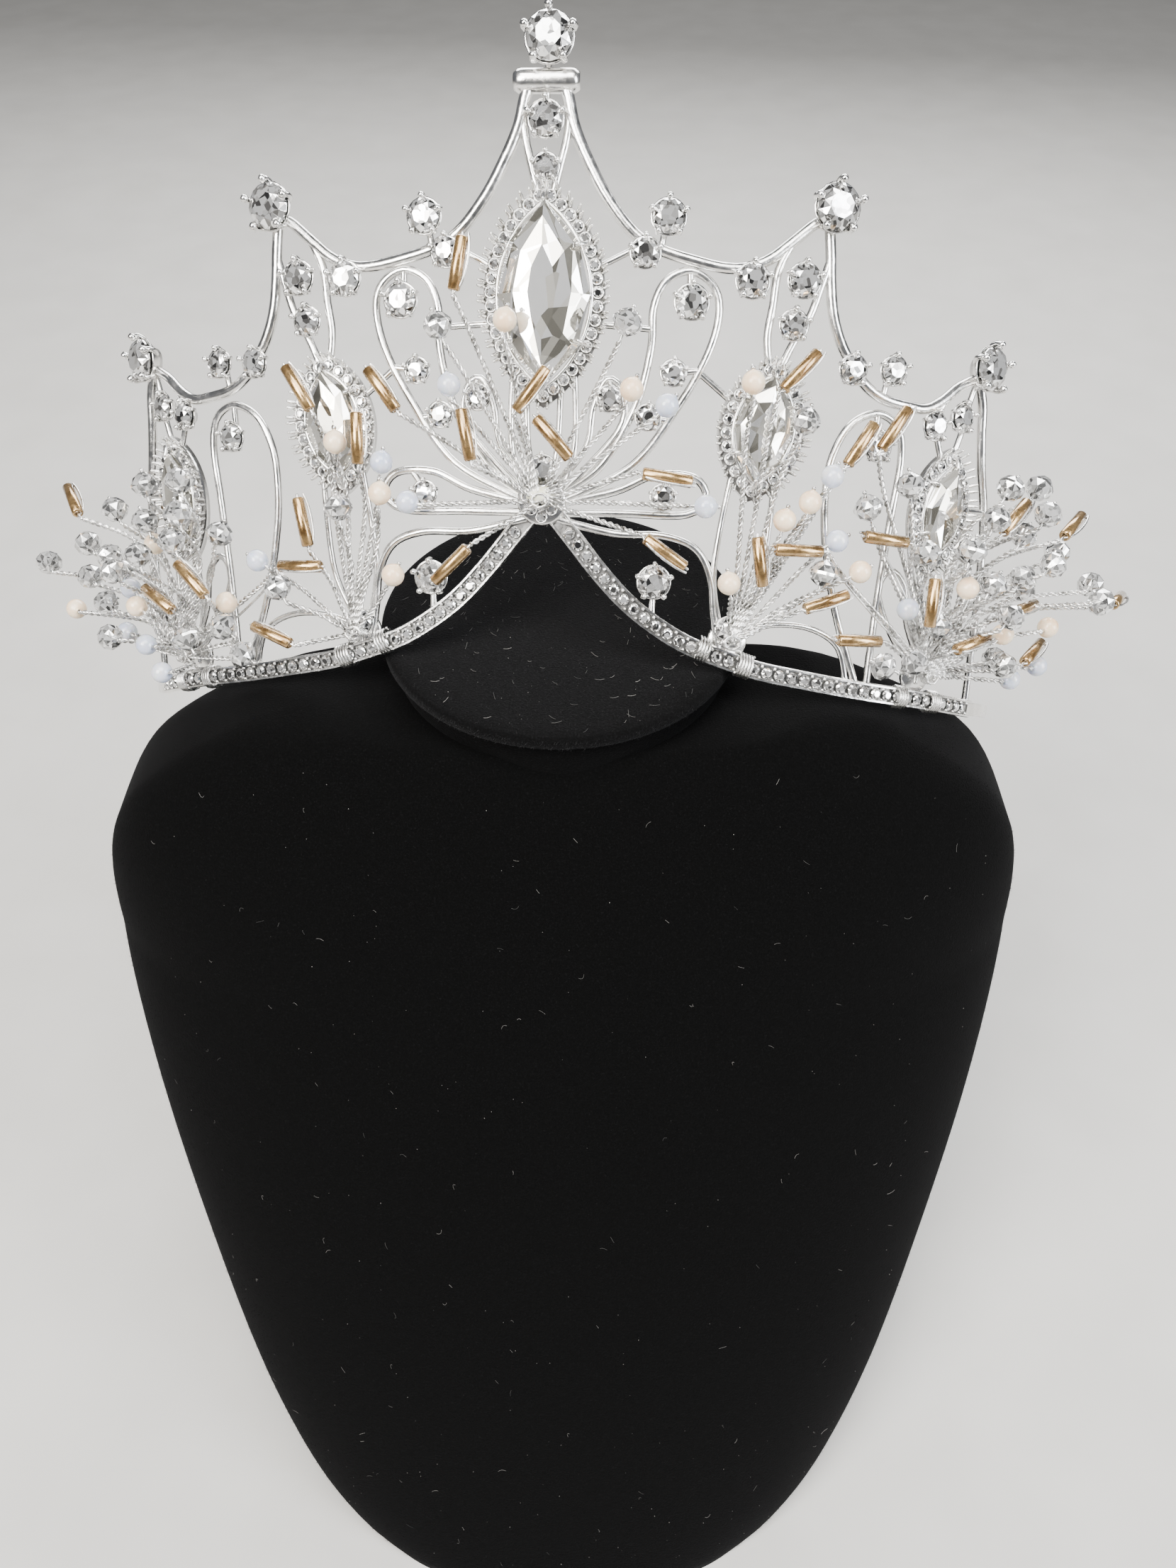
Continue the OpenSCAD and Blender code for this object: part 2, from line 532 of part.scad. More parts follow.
module bead_shape(kind) {
    if (kind == "bugle") cylinder(h = bugle_len, d = bugle_d, center = true, $fn = 24);
    if (kind == "pearl") sphere(d = pearl_d, $fn = 32);
    if (kind == "opal") sphere(d = opal_d, $fn = 32);
    if (kind == "crystal") sphere(d = crystal_d, $fn = 32);
}

module pearl_beads() { color("#f3dcc4") beads("pearl"); }
module opal_beads() { color("#e6ecf4") beads("opal"); }
module crystal_beads() { color("#f2f5f7") beads("crystal"); }
module bugle_beads() { color("#c9a878") beads("bugle"); }

OWN = [for (i = [0:OWN_PAIRS - 1]) PAIRS[i]];

neck_bust();
neck_cap();
tiara_frame();
small_stones();
band_stones(-1);  // band_stones_l
band_stones(1);  // band_stones_r
spray_wires();
pearl_beads();
opal_beads();
crystal_beads();
bugle_beads();
placed_navette(NAVETTES[0], 1);  // a_navette
for (row = MIDDLES) placed_stone(row, 1);
for (row = OWN) for (s = SIDES) placed_stone(row, side(s));
for (i = [1, 2]) for (s = SIDES)
    placed_navette(NAVETTES[i], side(s));
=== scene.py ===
import random
from math import acos, asin, atan2, ceil, copysign, cos, hypot, pi, radians, sin, sqrt, tan

import bpy
import numpy as np
from mathutils import Matrix, Vector


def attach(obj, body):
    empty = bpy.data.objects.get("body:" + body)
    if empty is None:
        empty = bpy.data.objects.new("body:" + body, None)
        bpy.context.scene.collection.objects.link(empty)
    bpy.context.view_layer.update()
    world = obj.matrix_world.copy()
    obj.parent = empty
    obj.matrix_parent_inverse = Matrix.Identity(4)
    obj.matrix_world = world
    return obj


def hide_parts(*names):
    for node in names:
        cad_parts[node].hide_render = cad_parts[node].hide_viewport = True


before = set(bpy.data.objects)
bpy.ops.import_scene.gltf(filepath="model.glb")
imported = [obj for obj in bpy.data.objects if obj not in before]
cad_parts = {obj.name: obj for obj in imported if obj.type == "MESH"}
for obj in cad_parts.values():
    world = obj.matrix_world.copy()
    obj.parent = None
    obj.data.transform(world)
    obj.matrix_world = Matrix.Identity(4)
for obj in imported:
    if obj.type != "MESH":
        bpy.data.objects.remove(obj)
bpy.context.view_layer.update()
rng = random.Random(7)
draw = rng.uniform

MM = 0.001

# Sizes in millimetres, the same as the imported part's
NECK_TOP_Z, NECK_CAP_R, NECK_CAP_T, NECK_INSET = 180.5, 36, 3, 2
CHEST_W, NECK_RISE, FOOT_Y, BACK_Y, SHOULDER_BACK_Y = 192, 8.5, 134, 42, 2
SHOULDER_Z = NECK_TOP_Z - NECK_RISE
NECK_ROOT = (-0.28, 0.55, 0.8)
CHEST_LEAN = radians(30.5)
CHEST_ROUND = 0.35
FRONT_R, FRONT_HALF, SIDE_R = 170, 63, 56
FLARE = radians(6)
LEAN, ROLL, YAW = (radians(a) for a in (40, -2, -5.5))
REST = (-3.7, -19.1, 181.55)
BAND_W, BAND_T, CHANNEL_D, BAND_STONE_D, BAND_PITCH = 3.6, 1.8, 0.7, 2.2, 2.6
STRIP_LEN, STRIP_W, STRIP_T = 24, 2.8, 1.2
ARC_D, LOOP_D, STEM_D = 2, 1.5, 1.2
CREST_D, LARGE_D, MIDDLE_D, SMALL_D = 8, 5.8, 5, 4.3
HALO_W, PLATE_T, SEAT_GAP, CUP_RISE, RIM = 2.6, 1.8, 0.15, 0.22, 0.35
PEARL_D, OPAL_D, CRYSTAL_D, BUGLE_D, BUGLE_LEN = 4.2, 4.2, 5.4, 2.3, 9
HUB_T, HUB_OUT, RISE_RUN, LIFT = 2.2, 3.4, 7, 0.03

# Sizes in millimetres and counts of what only the scene shows
CHEST_SIDES, CHEST_ROWS, NECK_SIDES = 120, 90, 96
HALO_STONE_D, HALO_PITCH, HALO_LIP, CLAW_OUT, CLAW_RISE = 1.9, 2.35, 0.9, 1.4, 2.1
METAL_BEAD_R, BAND_START, BAND_END, PRONGS, BINDINGS = 0.36, 5.5, 1.5, 5, 5
STRAND_R, STRAND_OFF, TWIST_PITCH = 0.25, 0.3, 2.6
BORE_WIRE_R, FINE_WIRE_R, COIL_R = 0.27, 0.24, 0.26
HAIR_HALF_W, CHEST_HAIRS, PAD_HAIRS, RIM_HAIRS = 0.035, 30000, 9000, 2500
CHEST_LINT, PAD_LINT, FIBRE_R, PAD_FIBRE_R = 360, 260, 0.03, 0.035

# The camera: its place in metres, degrees down, and its focal length in the photo's pixels
CAMERA_PLACE = (0.00525, -0.191, 0.3323)
CAMERA_DOWN = 46.5
PHOTO_HEIGHT, FOCAL = 2212, 1700
# Half the floor's width in metres
FLOOR_HALF = 6
# Lamps: name, place and target in metres, width, height, watts, colour
LAMPS = [
    ("key", (-0.5, -0.55, 0.85), (0, 0, 0.2), 0.5, 0.5, 20, (1, 0.97, 0.92)),
    ("fill", (0.8, -0.4, 0.6), (0, 0, 0.2), 0.4, 0.7, 14, (0.96, 0.98, 1)),
    ("rim", (0.1, 0.75, 0.6), (0, 0, 0.22), 0.9, 0.35, 12, (1, 1, 1)),
    ("top", (0, -0.25, 1.05), (0, 0, 0.2), 0.7, 0.5, 14, (1, 0.99, 0.96)),
]

# Paired round stones: name, across, up, diameter, and where the post meets a wire
PAIRS = [
    ("b_crest", 48.7, 83.2, CREST_D, 48, 81.6), ("b_loop", 44.1, 70.9, LARGE_D, 47.6, 70.4),
    ("b_small", 42.9, 63.4, MIDDLE_D, 45, 63.2), ("b_outer", 54.5, 56.7, MIDDLE_D, 53.8, 58.6),
    ("b_hub", 35, 9, MIDDLE_D, 35, 5), ("ab_tip", 20.4, 79.8, LARGE_D, 19.4, 74.6),
    ("ab_side", 16.8, 73.9, MIDDLE_D, 17, 75.6), ("ab_arc", 35.1, 70.2, LARGE_D, 34.4, 72.5),
    ("a_ring_top", 24.9, 66.1, LARGE_D, 24.6, 71.4), ("a_ring_mid", 22.4, 54.2, SMALL_D, 26.6, 54.8),
    ("v_arm", 20.5, 17.5, LARGE_D, 20.5, 11.7), ("bc_tip", 62.4, 57.2, MIDDLE_D, 61.2, 52.3),
    ("bc_ring", 60.8, 43.6, MIDDLE_D, 60.6, 49.6), ("c_crest", 82.4, 60.2, CREST_D, 81, 58),
    ("c_hub", 76, 5, MIDDLE_D, 76, 0), ("a_ring_low", 18.3, 46.5, SMALL_D, 22, 46),
    ("inner_ring", 11.5, 49.5, SMALL_D, 13.6, 49.2), ("side_ring", 21.5, 32.7, SMALL_D, 24.2, 36.9),
    ("c_side", 71.8, 48.4, MIDDLE_D, 73, 50.2), ("c_loop", 77.8, 50.6, MIDDLE_D, 79.6, 51.6),
]
# So many of them, from the first on, are nodes of their own
OWN_PAIRS = 15
# Round stones of the middle, with the same columns
MIDDLES = [
    ("a_crest", 0.5, 107.2, CREST_D, 0, 101), ("a_loop", 0, 94.8, LARGE_D, 0, 101),
    ("a_small", 0, 87.4, SMALL_D, 2.3, 87.4), ("a_hub", 0, 37, MIDDLE_D, 0, 32),
]
# Navettes: name, across, up, lean in degrees, length, width
NAVETTES = [
    ("a_navette", 0, 66.5, 0, 31, 16.5), ("b_navette", 38.8, 45.2, -8, 19, 11),
    ("c_navette", 76, 32.8, -8, 18, 9.5),
]
# The band's right half, then the collar that carries the middle crest
BAND = [
    (1.5, 30), (6, 24.5), (10.5, 19), (15.5, 13.8), (21, 9.6), (27, 6.2), (33, 4), (41, 1.6), (50, 0),
    (62, -1.8), (76, -3.4), (88, -4.8), (96, -5.6),
]
COLLAR = [(-4, 101), (0, 101), (4, 101)]
# Wires of the right half: thickness at both ends, then the route
WIRES = [
    (1.1 * ARC_D, ARC_D,
     [(2.6, 101.4), (3.5, 98.5), (4.6, 93.8), (7, 88.4), (10.3, 82.6), (14.8, 77.2), (19.4, 74.6),
      (26, 72.9), (30.5, 72.2), (34.4, 72.5), (38.2, 74.2), (41.6, 77), (45.6, 80.5), (48, 81.6)]),
    (ARC_D, ARC_D,
     [(48, 81.8), (48.8, 76), (49.3, 71), (50.2, 66), (51.7, 62), (53.8, 58.6), (57.2, 54.6), (61.2, 52.3),
      (66, 51.4), (70, 51.3), (73.6, 53.2), (77, 56.1), (81, 58.2)]),
    (ARC_D, 0.8 * ARC_D,
     [(81.6, 58.4), (83.8, 53.8), (84.9, 48), (86.6, 41.5), (89.4, 34), (91.6, 24), (93, 12), (94.5, -4)]),
    (LOOP_D, LOOP_D, [(2.8, 100), (3.7, 96), (3.4, 92), (2.3, 87.4), (1.2, 83)]),
    (LOOP_D, LOOP_D,
     [(3.8, 33), (10.4, 38), (16, 48), (18.4, 58), (18.6, 65), (20.6, 69.6), (24.6, 71.4), (28.4, 69.4),
      (29.9, 65.2), (28.6, 58.4), (24.2, 49.6), (16, 38.2), (3.5, 31.6)]),
    (STEM_D, LOOP_D, [(2, 34), (7.6, 41), (8.8, 48), (11, 52.8), (13.6, 51), (13.3, 44), (3, 32.4)]),
    (LOOP_D, LOOP_D, [(2.5, 31), (13, 33.5), (20, 36.6), (27, 36.4), (29.4, 33), (26, 29.8), (14, 29.6),
                     (2.5, 29.4)]),
    (LOOP_D, LOOP_D, [(2.5, 28.4), (13, 26), (22, 25.8), (28, 23.6), (31, 18.5), (32, 12), (33.2, 5.6)]),
    (LOOP_D, LOOP_D, [(42.2, 77.6), (39.8, 72.5), (39.2, 66.5), (38.6, 61), (39.4, 55.6)]),
    (LOOP_D, LOOP_D, [(48.9, 75), (47.6, 70.4), (46, 65.2), (43.4, 60.6), (41.4, 56)]),
    (STEM_D, STEM_D, [(36, 8), (43, 10.2), (51, 9.8), (57, 6.5), (59.4, 0.1)]),
    (LOOP_D, LOOP_D,
     [(61.3, -0.1), (55.6, 14), (52.4, 27), (51.8, 37), (53, 43), (55.9, 47.6), (60.6, 49.6), (64.8, 47.4),
      (66.2, 41.6), (65.4, 31), (64.4, 15), (64, -0.4)]),
    (STEM_D, LOOP_D, [(75, 2.4), (68.5, 9), (64.5, 17), (66.5, 21.2), (70, 18.5), (72, 11), (77, 3)]),
    (LOOP_D, STEM_D, [(77, 56.2), (74.2, 53.2), (72.6, 49), (74.6, 43.2)]),
    (STEM_D, STEM_D, [(81.4, 57.6), (80, 53), (79, 47.6), (77.6, 43.2)]),
]
# Thin stems of the right half
STEMS = [
    [(82, 33.6), (89.4, 34)], [(0.9, 33), (2.6, 41), (3, 51.5)], [(3, 31.8), (5.6, 41), (5.4, 54.3)],
    [(33.5, 9), (31.6, 20), (34, 38.6)], [(36, 9), (40.5, 19), (41.8, 36.2)],
    [(75, 3), (73, 13), (74.4, 22.6)], [(77, 3), (80.6, 13), (80, 27)], [(8.5, 71.2), (17, 75.6)],
    [(9.2, 62), (18.5, 61.5)], [(26.6, 54.8), (32.8, 50)],
]
# Hubs, from the middle out: across, up, radius
HUBS = [(0, 31.5, 4.6), (35, 7, 3.8), (76, 1.5, 3.8)]
# Small stones on the middle hub, from its centre
HUB_STONES = [(0, -2.9), (-1.8, -1.5), (1.8, -1.5), (0, -0.7), (-2.6, 0.7), (2.6, 0.7)]
# Beads: kind, hub (below zero on the left), across, up, outward, turn of the bead's axis
BEADS = [
    ("bugle", 0, -13.5, 71, 6, 80), ("pearl", 0, -5.5, 61.5, 8, 80), ("crystal", 0, 14, 61.5, 7, 70),
    ("crystal", 0, -17, 61, 6, 110), ("opal", 0, -15, 51, 7, 100), ("pearl", 0, 15, 50.5, 8, 70),
    ("bugle", 0, -1, 50, 9, 55), ("bugle", 0, 2.6, 42, 10, 130), ("bugle", 0, -12, 42.5, 8, 100),
    ("bugle", 0, -27, 50.5, 6, 125), ("opal", -1, -27.5, 38, 6, 80), ("pearl", -1, -27, 32.5, 8.5, 80),
    ("opal", 0, -23, 31, 6, 170), ("opal", 0, 28.2, 31.3, 7, 0), ("bugle", 0, 21.5, 36, 7, -8),
    ("opal", 0, 21, 48.2, 6, 50), ("bugle", 0, -15.4, 20, 6, 225), ("bugle", 0, 21.8, 23, 6, -35),
    ("pearl", -1, -26, 18, 6, 60), ("pearl", 1, 33, 18, 7, 100), ("pearl", 1, 34.7, 52.5, 8, 95),
    ("bugle", 1, 42.8, 55, 7, 50), ("crystal", 1, 43.7, 46.5, 9, 75), ("opal", 1, 49.5, 37.5, 8, 70),
    ("pearl", 1, 45.6, 32.8, 9, 80), ("pearl", 1, 42, 29.5, 7, 80), ("bugle", 2, 44.5, 24.3, 8.5, 180),
    ("bugle", 1, 38.2, 22, 7, 100), ("opal", 1, 52.5, 26.3, 5.5, 30), ("bugle", 2, 60.5, 27, 8, 175),
    ("pearl", 1, 56.5, 21, 7.5, 30), ("crystal", 2, 57.5, 32.5, 6, 110), ("crystal", 2, 65, 37, 6, 100),
    ("bugle", 2, 60.5, 46.5, 7, 60), ("bugle", 1, 55, 43.5, 6, 60), ("bugle", 1, 51.5, 15.2, 5.5, 20),
    ("bugle", 2, 59, 8.2, 5, 180), ("opal", 2, 67, 14.5, 6.5, 120), ("bugle", 2, 95, 33, 16, 40),
    ("pearl", 2, 96, 13, 14, 20), ("crystal", 2, 90, 25, 16, 40), ("crystal", 2, 93, 20, 9, 30),
    ("opal", 2, 99, 5, 12, 10), ("crystal", 2, 89.5, 5.5, 7.5, 10), ("bugle", 2, 104, 20, 24, 20),
    ("crystal", -2, -100, 22, 20, 140), ("bugle", -2, -93, 34, 15, 130), ("crystal", -2, -90, 25, 14, 140),
    ("pearl", -2, -98, 12, 16, 165), ("pearl", -2, -75.5, 24, 8, 100), ("crystal", -2, -60.5, 25.5, 7, 60),
    ("opal", -1, -52.5, 20.5, 7, 150), ("opal", -2, -91, 6.6, 8, 170), ("opal", -2, -84, 15.5, 9, 150),
    ("pearl", -2, -61, 12.5, 6, 45), ("pearl", -1, -35, 41.5, 8, 90), ("bugle", -1, -41.5, 51, 8, 120),
    ("bugle", -1, -30.5, 42, 9, 90), ("bugle", -2, -43, 19.5, 8, 0), ("bugle", -1, -42.5, 27.5, 7, 100),
    ("crystal", -1, -35, 30, 8, 95),
]
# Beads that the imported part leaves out, in the thick of the clusters at both ends. For each kind and hub:
# across, up, outward, turn of the bead's axis
EXTRA_BEADS = {
    ("crystal", 2): [(80.5, 38, 12, 60), (88, 39, 12, 50), (105, 22.5, 18, 30), (94.5, 19, 24, 10),
        (99, 28, 12, 40), (87, 30, 11, 60), (72, 26, 15, 80), (77.5, 32, 13, 70), (86, 34, 16, 60),
        (75, 26, 10, 90), (81, 20.3, 11, 60), (87.5, 22, 12, 50), (72.5, 11.7, 8, 90), (68, 5, 9, 140),
        (62, 4, 9, 160), (81, 14.5, 16, 50), (86, 5, 12, 20), (67.5, 25, 9.5, 100)],
    ("bugle", 2): [(82.7, 33, 12, 52), (88, 16.2, 13, 17), (96, 7.8, 12, 33), (77.2, 9.1, 12, 22),
        (68, 16.2, 12, 90)],
    ("pearl", 2): [(84.3, 11, 12, 40), (74.4, 19.2, 12, 80)],
    ("opal", 2): [(92, 2, 10, 10)],
    ("crystal", -2): [(-89.4, 12.9, 12, 150), (-71.7, 35, 12, 100), (-72.6, 28.3, 12, 110),
        (-67, 24.5, 12, 110), (-83, 22, 13, 140), (-79, 19, 15, 130), (-81, 31, 12, 120),
        (-95, 18.5, 13, 150), (-55.8, 2.9, 9, 150), (-58, 8.2, 11, 140), (-68.5, 5.6, 9, 120),
        (-66, 29.5, 11, 100), (-66, 35.5, 10, 100), (-87.5, 19, 9, 150), (-85, 6, 14, 170),
        (-73, 22, 14, 100)],
    ("crystal", -1): [(-48.5, 15.5, 7, 120)],
    ("bugle", -2): [(-71.5, 13.5, 12, 145), (-63.5, 17.2, 12, 132)],
    ("bugle", -1): [(-50.5, 6.6, 7, 158)],
    ("pearl", -2): [(-79, 12, 11, 150)],
    ("opal", -2): [(-77.3, 4.4, 11, 170), (-73.6, -1, 11, 180)],
    ("crystal", 1): [(49, 20.5, 9, 80)],
}
# Wire bound round the band, right half: across, up, slope of the band, turns
COILS = [(30.5, 5.3, -0.35, 4), (38.5, 2.4, -0.3, 5), (72, -3, -0.1, 4), (81, -4, -0.1, 5)]
# Chest sections: height as a share of SHOULDER_Z, half-width as a share of half CHEST_W
CHEST = [
    (0, 0.46), (0.03, 0.56), (0.09, 0.66), (0.2, 0.765), (0.36, 0.865), (0.53, 0.95), (0.69, 1),
    (0.8, 0.995), (0.87, 0.94), (0.92, 0.84), (0.96, 0.72), (0.985, 0.63), (1, 0.535),
]

# The head curve and the tiara's flat layout
FRONT_TURN = FRONT_HALF / FRONT_R
POSE = (Matrix.Translation(REST) @ Matrix.Rotation(YAW, 4, "Z") @ Matrix.Rotation(-LEAN, 4, "X")
        @ Matrix.Rotation(ROLL, 4, "Y"))


def heading(s):
    """How far the tiara has turned at a place across, in radians."""
    turn = abs(s) / FRONT_R
    if abs(s) >= FRONT_HALF:
        turn = min(pi / 2, FRONT_TURN + (abs(s) - FRONT_HALF) / SIDE_R)
    return copysign(turn, s)


def wrap(u, v, w=0):
    """A point of the layout (across, up, outward) round the head curve, before the pose."""
    h = abs(heading(u))
    straight = max(0, abs(u) - FRONT_HALF - (pi / 2 - FRONT_TURN) * SIDE_R)
    if h < FRONT_TURN:
        x, y = FRONT_R * sin(h), FRONT_R * (1 - cos(h))
    else:
        x = FRONT_R * sin(FRONT_TURN) + SIDE_R * (sin(h) - sin(FRONT_TURN))
        y = FRONT_R * (1 - cos(FRONT_TURN)) + SIDE_R * (cos(FRONT_TURN) - cos(h)) + straight
    out = v * tan(FLARE) + w * cos(FLARE)
    h = heading(u)
    return Vector((copysign(x, u) + out * sin(h), y - out * cos(h), v - w * sin(FLARE)))


def at(u, v, turn=0.0, lift=0.0):
    """Stands a thing on the tiara's surface: z outward, y up the spire."""
    return (POSE @ Matrix.Translation(wrap(u, v)) @ Matrix.Rotation(heading(u), 4, "Z")
            @ Matrix.Rotation(pi / 2 + FLARE, 4, "X") @ Matrix.Rotation(radians(turn), 4, "Z")
            @ Matrix.Translation((0, 0, lift)))


def flip(points, s):
    return [(s * p[0], *p[1:]) for p in points]


def smooth(points, step):
    """A Catmull-Rom route through chosen points, a step apart."""
    pts = [np.array((*p, 0)[:3] if len(p) == 2 else p, float) for p in points]
    out = []
    for i in range(len(pts) - 1):
        a, b, c, d = pts[max(i - 1, 0)], pts[i], pts[i + 1], pts[min(i + 2, len(pts) - 1)]
        n = max(1, ceil(np.linalg.norm(c - b) / step))
        for j in range(n):
            t = j / n
            out.append(0.5 * (2 * b + (c - a) * t + (2 * a - 5 * b + 4 * c - d) * t * t
                              + (3 * b - a - 3 * c + d) * t ** 3))
    return out + [pts[-1]]


def posed(points):
    return [POSE @ wrap(*p) for p in points]


def hub_place(n):
    """Where a hub lies on the layout. Below zero it is on the left."""
    u, v = HUBS[abs(n)][:2]
    return copysign(u, n), v


def distances(points):
    """How far along a route each of its points lies."""
    return np.concatenate([[0], np.cumsum(np.linalg.norm(np.diff(points, axis=0), axis=1))])


def point_along(route, run, q):
    return [np.interp(q, run, route[:, k]) for k in range(route.shape[1])]


def frames_along(points):
    """The direction at each point of a path, and two directions square to it that don't spin."""
    along = np.gradient(points, axis=0)
    along /= np.linalg.norm(along, axis=1)[:, None] + 1e-12
    side = np.cross(along[0], (0, 0, 1) if abs(along[0][2]) < 0.9 else (1, 0, 0))
    frames = []
    for t in along:
        side = side - t * side.dot(t)
        side /= np.linalg.norm(side)
        frames.append((side, np.cross(t, side)))
    return along, frames


def round_turns(n, off=0.0):
    """The angles of n points round a circle, the first a share of a step on."""
    return [2 * pi * (j + off) / n for j in range(n)]


def polar(r, a, z):
    return r * cos(a), r * sin(a), z


def placed(name, data):
    """A new object in the scene."""
    obj = bpy.data.objects.new(name, data)
    bpy.context.scene.collection.objects.link(obj)
    return obj


# Mesh building
class Shape:
    """Vertices in millimetres and faces of one piece, gathered from many small forms."""

    def __init__(self):
        self.points, self.faces, self.slots, self.soft = [], [], [], []

    def add(self, points, faces, matrix=None, slot=0, soft=True):
        first = len(self.points)
        self.points += [tuple(matrix @ Vector(p)) if matrix else tuple(p) for p in points]
        self.faces += [tuple(first + i for i in f) for f in faces]
        self.slots += [slot] * len(faces)
        self.soft += [soft] * len(faces)

    def piece(self, name, materials, stands_for, slot):
        mesh = bpy.data.meshes.new(name)
        mesh.from_pydata([(x * MM, y * MM, z * MM) for x, y, z in self.points], [], self.faces)
        for m in materials:
            mesh.materials.append(m)
        mesh.polygons.foreach_set("material_index", self.slots)
        mesh.polygons.foreach_set("use_smooth", self.soft)
        mesh.update()
        obj = placed(name, mesh)
        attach(obj, "root")
        if stands_for:
            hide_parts(*stands_for)


def rings_faces(count, sides, closed=False):
    """Faces between rings of points, with end caps unless the rings close on themselves."""
    faces = []
    for i in range(count if closed else count - 1):
        for j in range(sides):
            a, b = i * sides, (i + 1) % count * sides
            k = (j + 1) % sides
            faces.append((a + j, a + k, b + k, b + j))
    if not closed:
        faces += [tuple(reversed(range(sides))), tuple(range((count - 1) * sides, count * sides))]
    return faces


def tube(shape, path, radius, sides, matrix=None, domed=True):
    """A round bar along a path in millimetres. The radius is one number or one for each point."""
    pts = np.array([tuple(p) for p in path], float)
    radii = np.full(len(pts), float(radius)) if np.isscalar(radius) else np.array(radius, float)
    along, frames = frames_along(pts)
    dome = ((0.95, 0.3), (0.7, 0.72)) if domed else ()

    def cap(k, way):
        out = way * along[k] * radii[k]
        return [(pts[k] + out * ahead, frames[k], radii[k] * share) for share, ahead in dome]

    rings = cap(0, -1)[::-1] + list(zip(pts, frames, radii)) + cap(-1, 1)
    turns = round_turns(sides)
    points = [p + r * (cos(a) * f[0] + sin(a) * f[1]) for p, f, r in rings for a in turns]
    shape.add(points, rings_faces(len(rings), sides), matrix)


def lathe(shape, profile, sides, matrix=None, closed=False):
    """Turns (radius, height) points round the z axis."""
    points = [polar(r, a, z) for r, z in profile for a in round_turns(sides)]
    shape.add(points, rings_faces(len(profile), sides, closed), matrix)


def ball(shape, centre, r, sides, matrix=None):
    rows = max(3, sides // 2)
    turns = [pi * (i + 0.5) / rows for i in range(rows)]
    place = Matrix.Translation(centre)
    if matrix:
        place = matrix @ place
    lathe(shape, [(r * sin(a), -r * cos(a)) for a in turns], sides, place)


# Materials
def put(node, values):
    for name, value in values.items():
        node.inputs[name].default_value = value


def material(name, colour, metallic, roughness):
    m = bpy.data.materials.new(name)
    m.use_nodes = True
    shader = m.node_tree.nodes["Principled BSDF"]
    put(shader, {"Base Color": (*colour, 1), "Metallic": metallic, "Roughness": roughness})
    return m, shader


def new_node(shader, kind):
    return shader.id_data.nodes.new("ShaderNode" + kind)


def link(source, target):
    target.id_data.links.new(source, target)


def noise(shader, scale, detail, rough=0.5):
    coords, tex = new_node(shader, "TexCoord"), new_node(shader, "TexNoise")
    put(tex, {"Scale": scale, "Detail": detail, "Roughness": rough})
    link(coords.outputs["Object"], tex.inputs["Vector"])
    return tex.outputs["Fac"]


def tint(shader, source, stops):
    """Colours the surface by a source from 0 to 1, with a colour at each stop."""
    node = new_node(shader, "ValToRGB")
    elements = node.color_ramp.elements
    while len(elements) < len(stops):
        elements.new(0.5)
    for e, (place, colour) in zip(elements, stops):
        e.position = place
        e.color = (*colour, 1)
    link(source, node.inputs["Fac"])
    link(node.outputs["Color"], shader.inputs["Base Color"])


def roughen(shader, source, low, high):
    """Maps a noise's 0.3 to 0.7 to a range of roughness."""
    node = new_node(shader, "MapRange")
    put(node, {"From Min": 0.3, "From Max": 0.7, "To Min": low, "To Max": high})
    link(source, node.inputs["Value"])
    link(node.outputs["Result"], shader.inputs["Roughness"])


def bump(shader, source, strength, distance):
    node = new_node(shader, "Bump")
    put(node, {"Strength": strength, "Distance": distance})
    link(source, node.inputs["Height"])
    link(node.outputs["Normal"], shader.inputs["Normal"])


def velvet_material(name, dark, pale, sheen, pile):
    m, shader = material(name, (dark, dark, dark), 0, 0.95)
    put(shader, {"Specular IOR Level": 0.05, "Sheen Weight": sheen, "Sheen Roughness": 0.4,
                 "Sheen Tint": (0.6, 0.6, 0.64, 1)})
    grain = noise(shader, 2600, 3, 0.7)
    tint(shader, grain, [(0.4, (dark, dark, dark)), (0.62, (2 * dark, 2 * dark, 2.1 * dark)),
                               (0.78, (pale, pale, 1.05 * pale))])
    bump(shader, grain, pile, 0.0006)
    return m


def silver_material(name, low, high, scale, strength, tone=1.0, dull=0.93):
    m, shader = material(name, (0.97, 0.965, 0.95), 1, 0.2)
    grain = noise(shader, scale, 5, 0.6)
    roughen(shader, grain, low, high)
    dull *= tone
    tint(shader, noise(shader, scale / 4, 3),
         [(0.35, (dull, 0.985 * dull, 0.95 * dull)), (0.6, (0.985 * tone, 0.975 * tone, 0.96 * tone))])
    bump(shader, grain, strength, 0.0002)
    return m


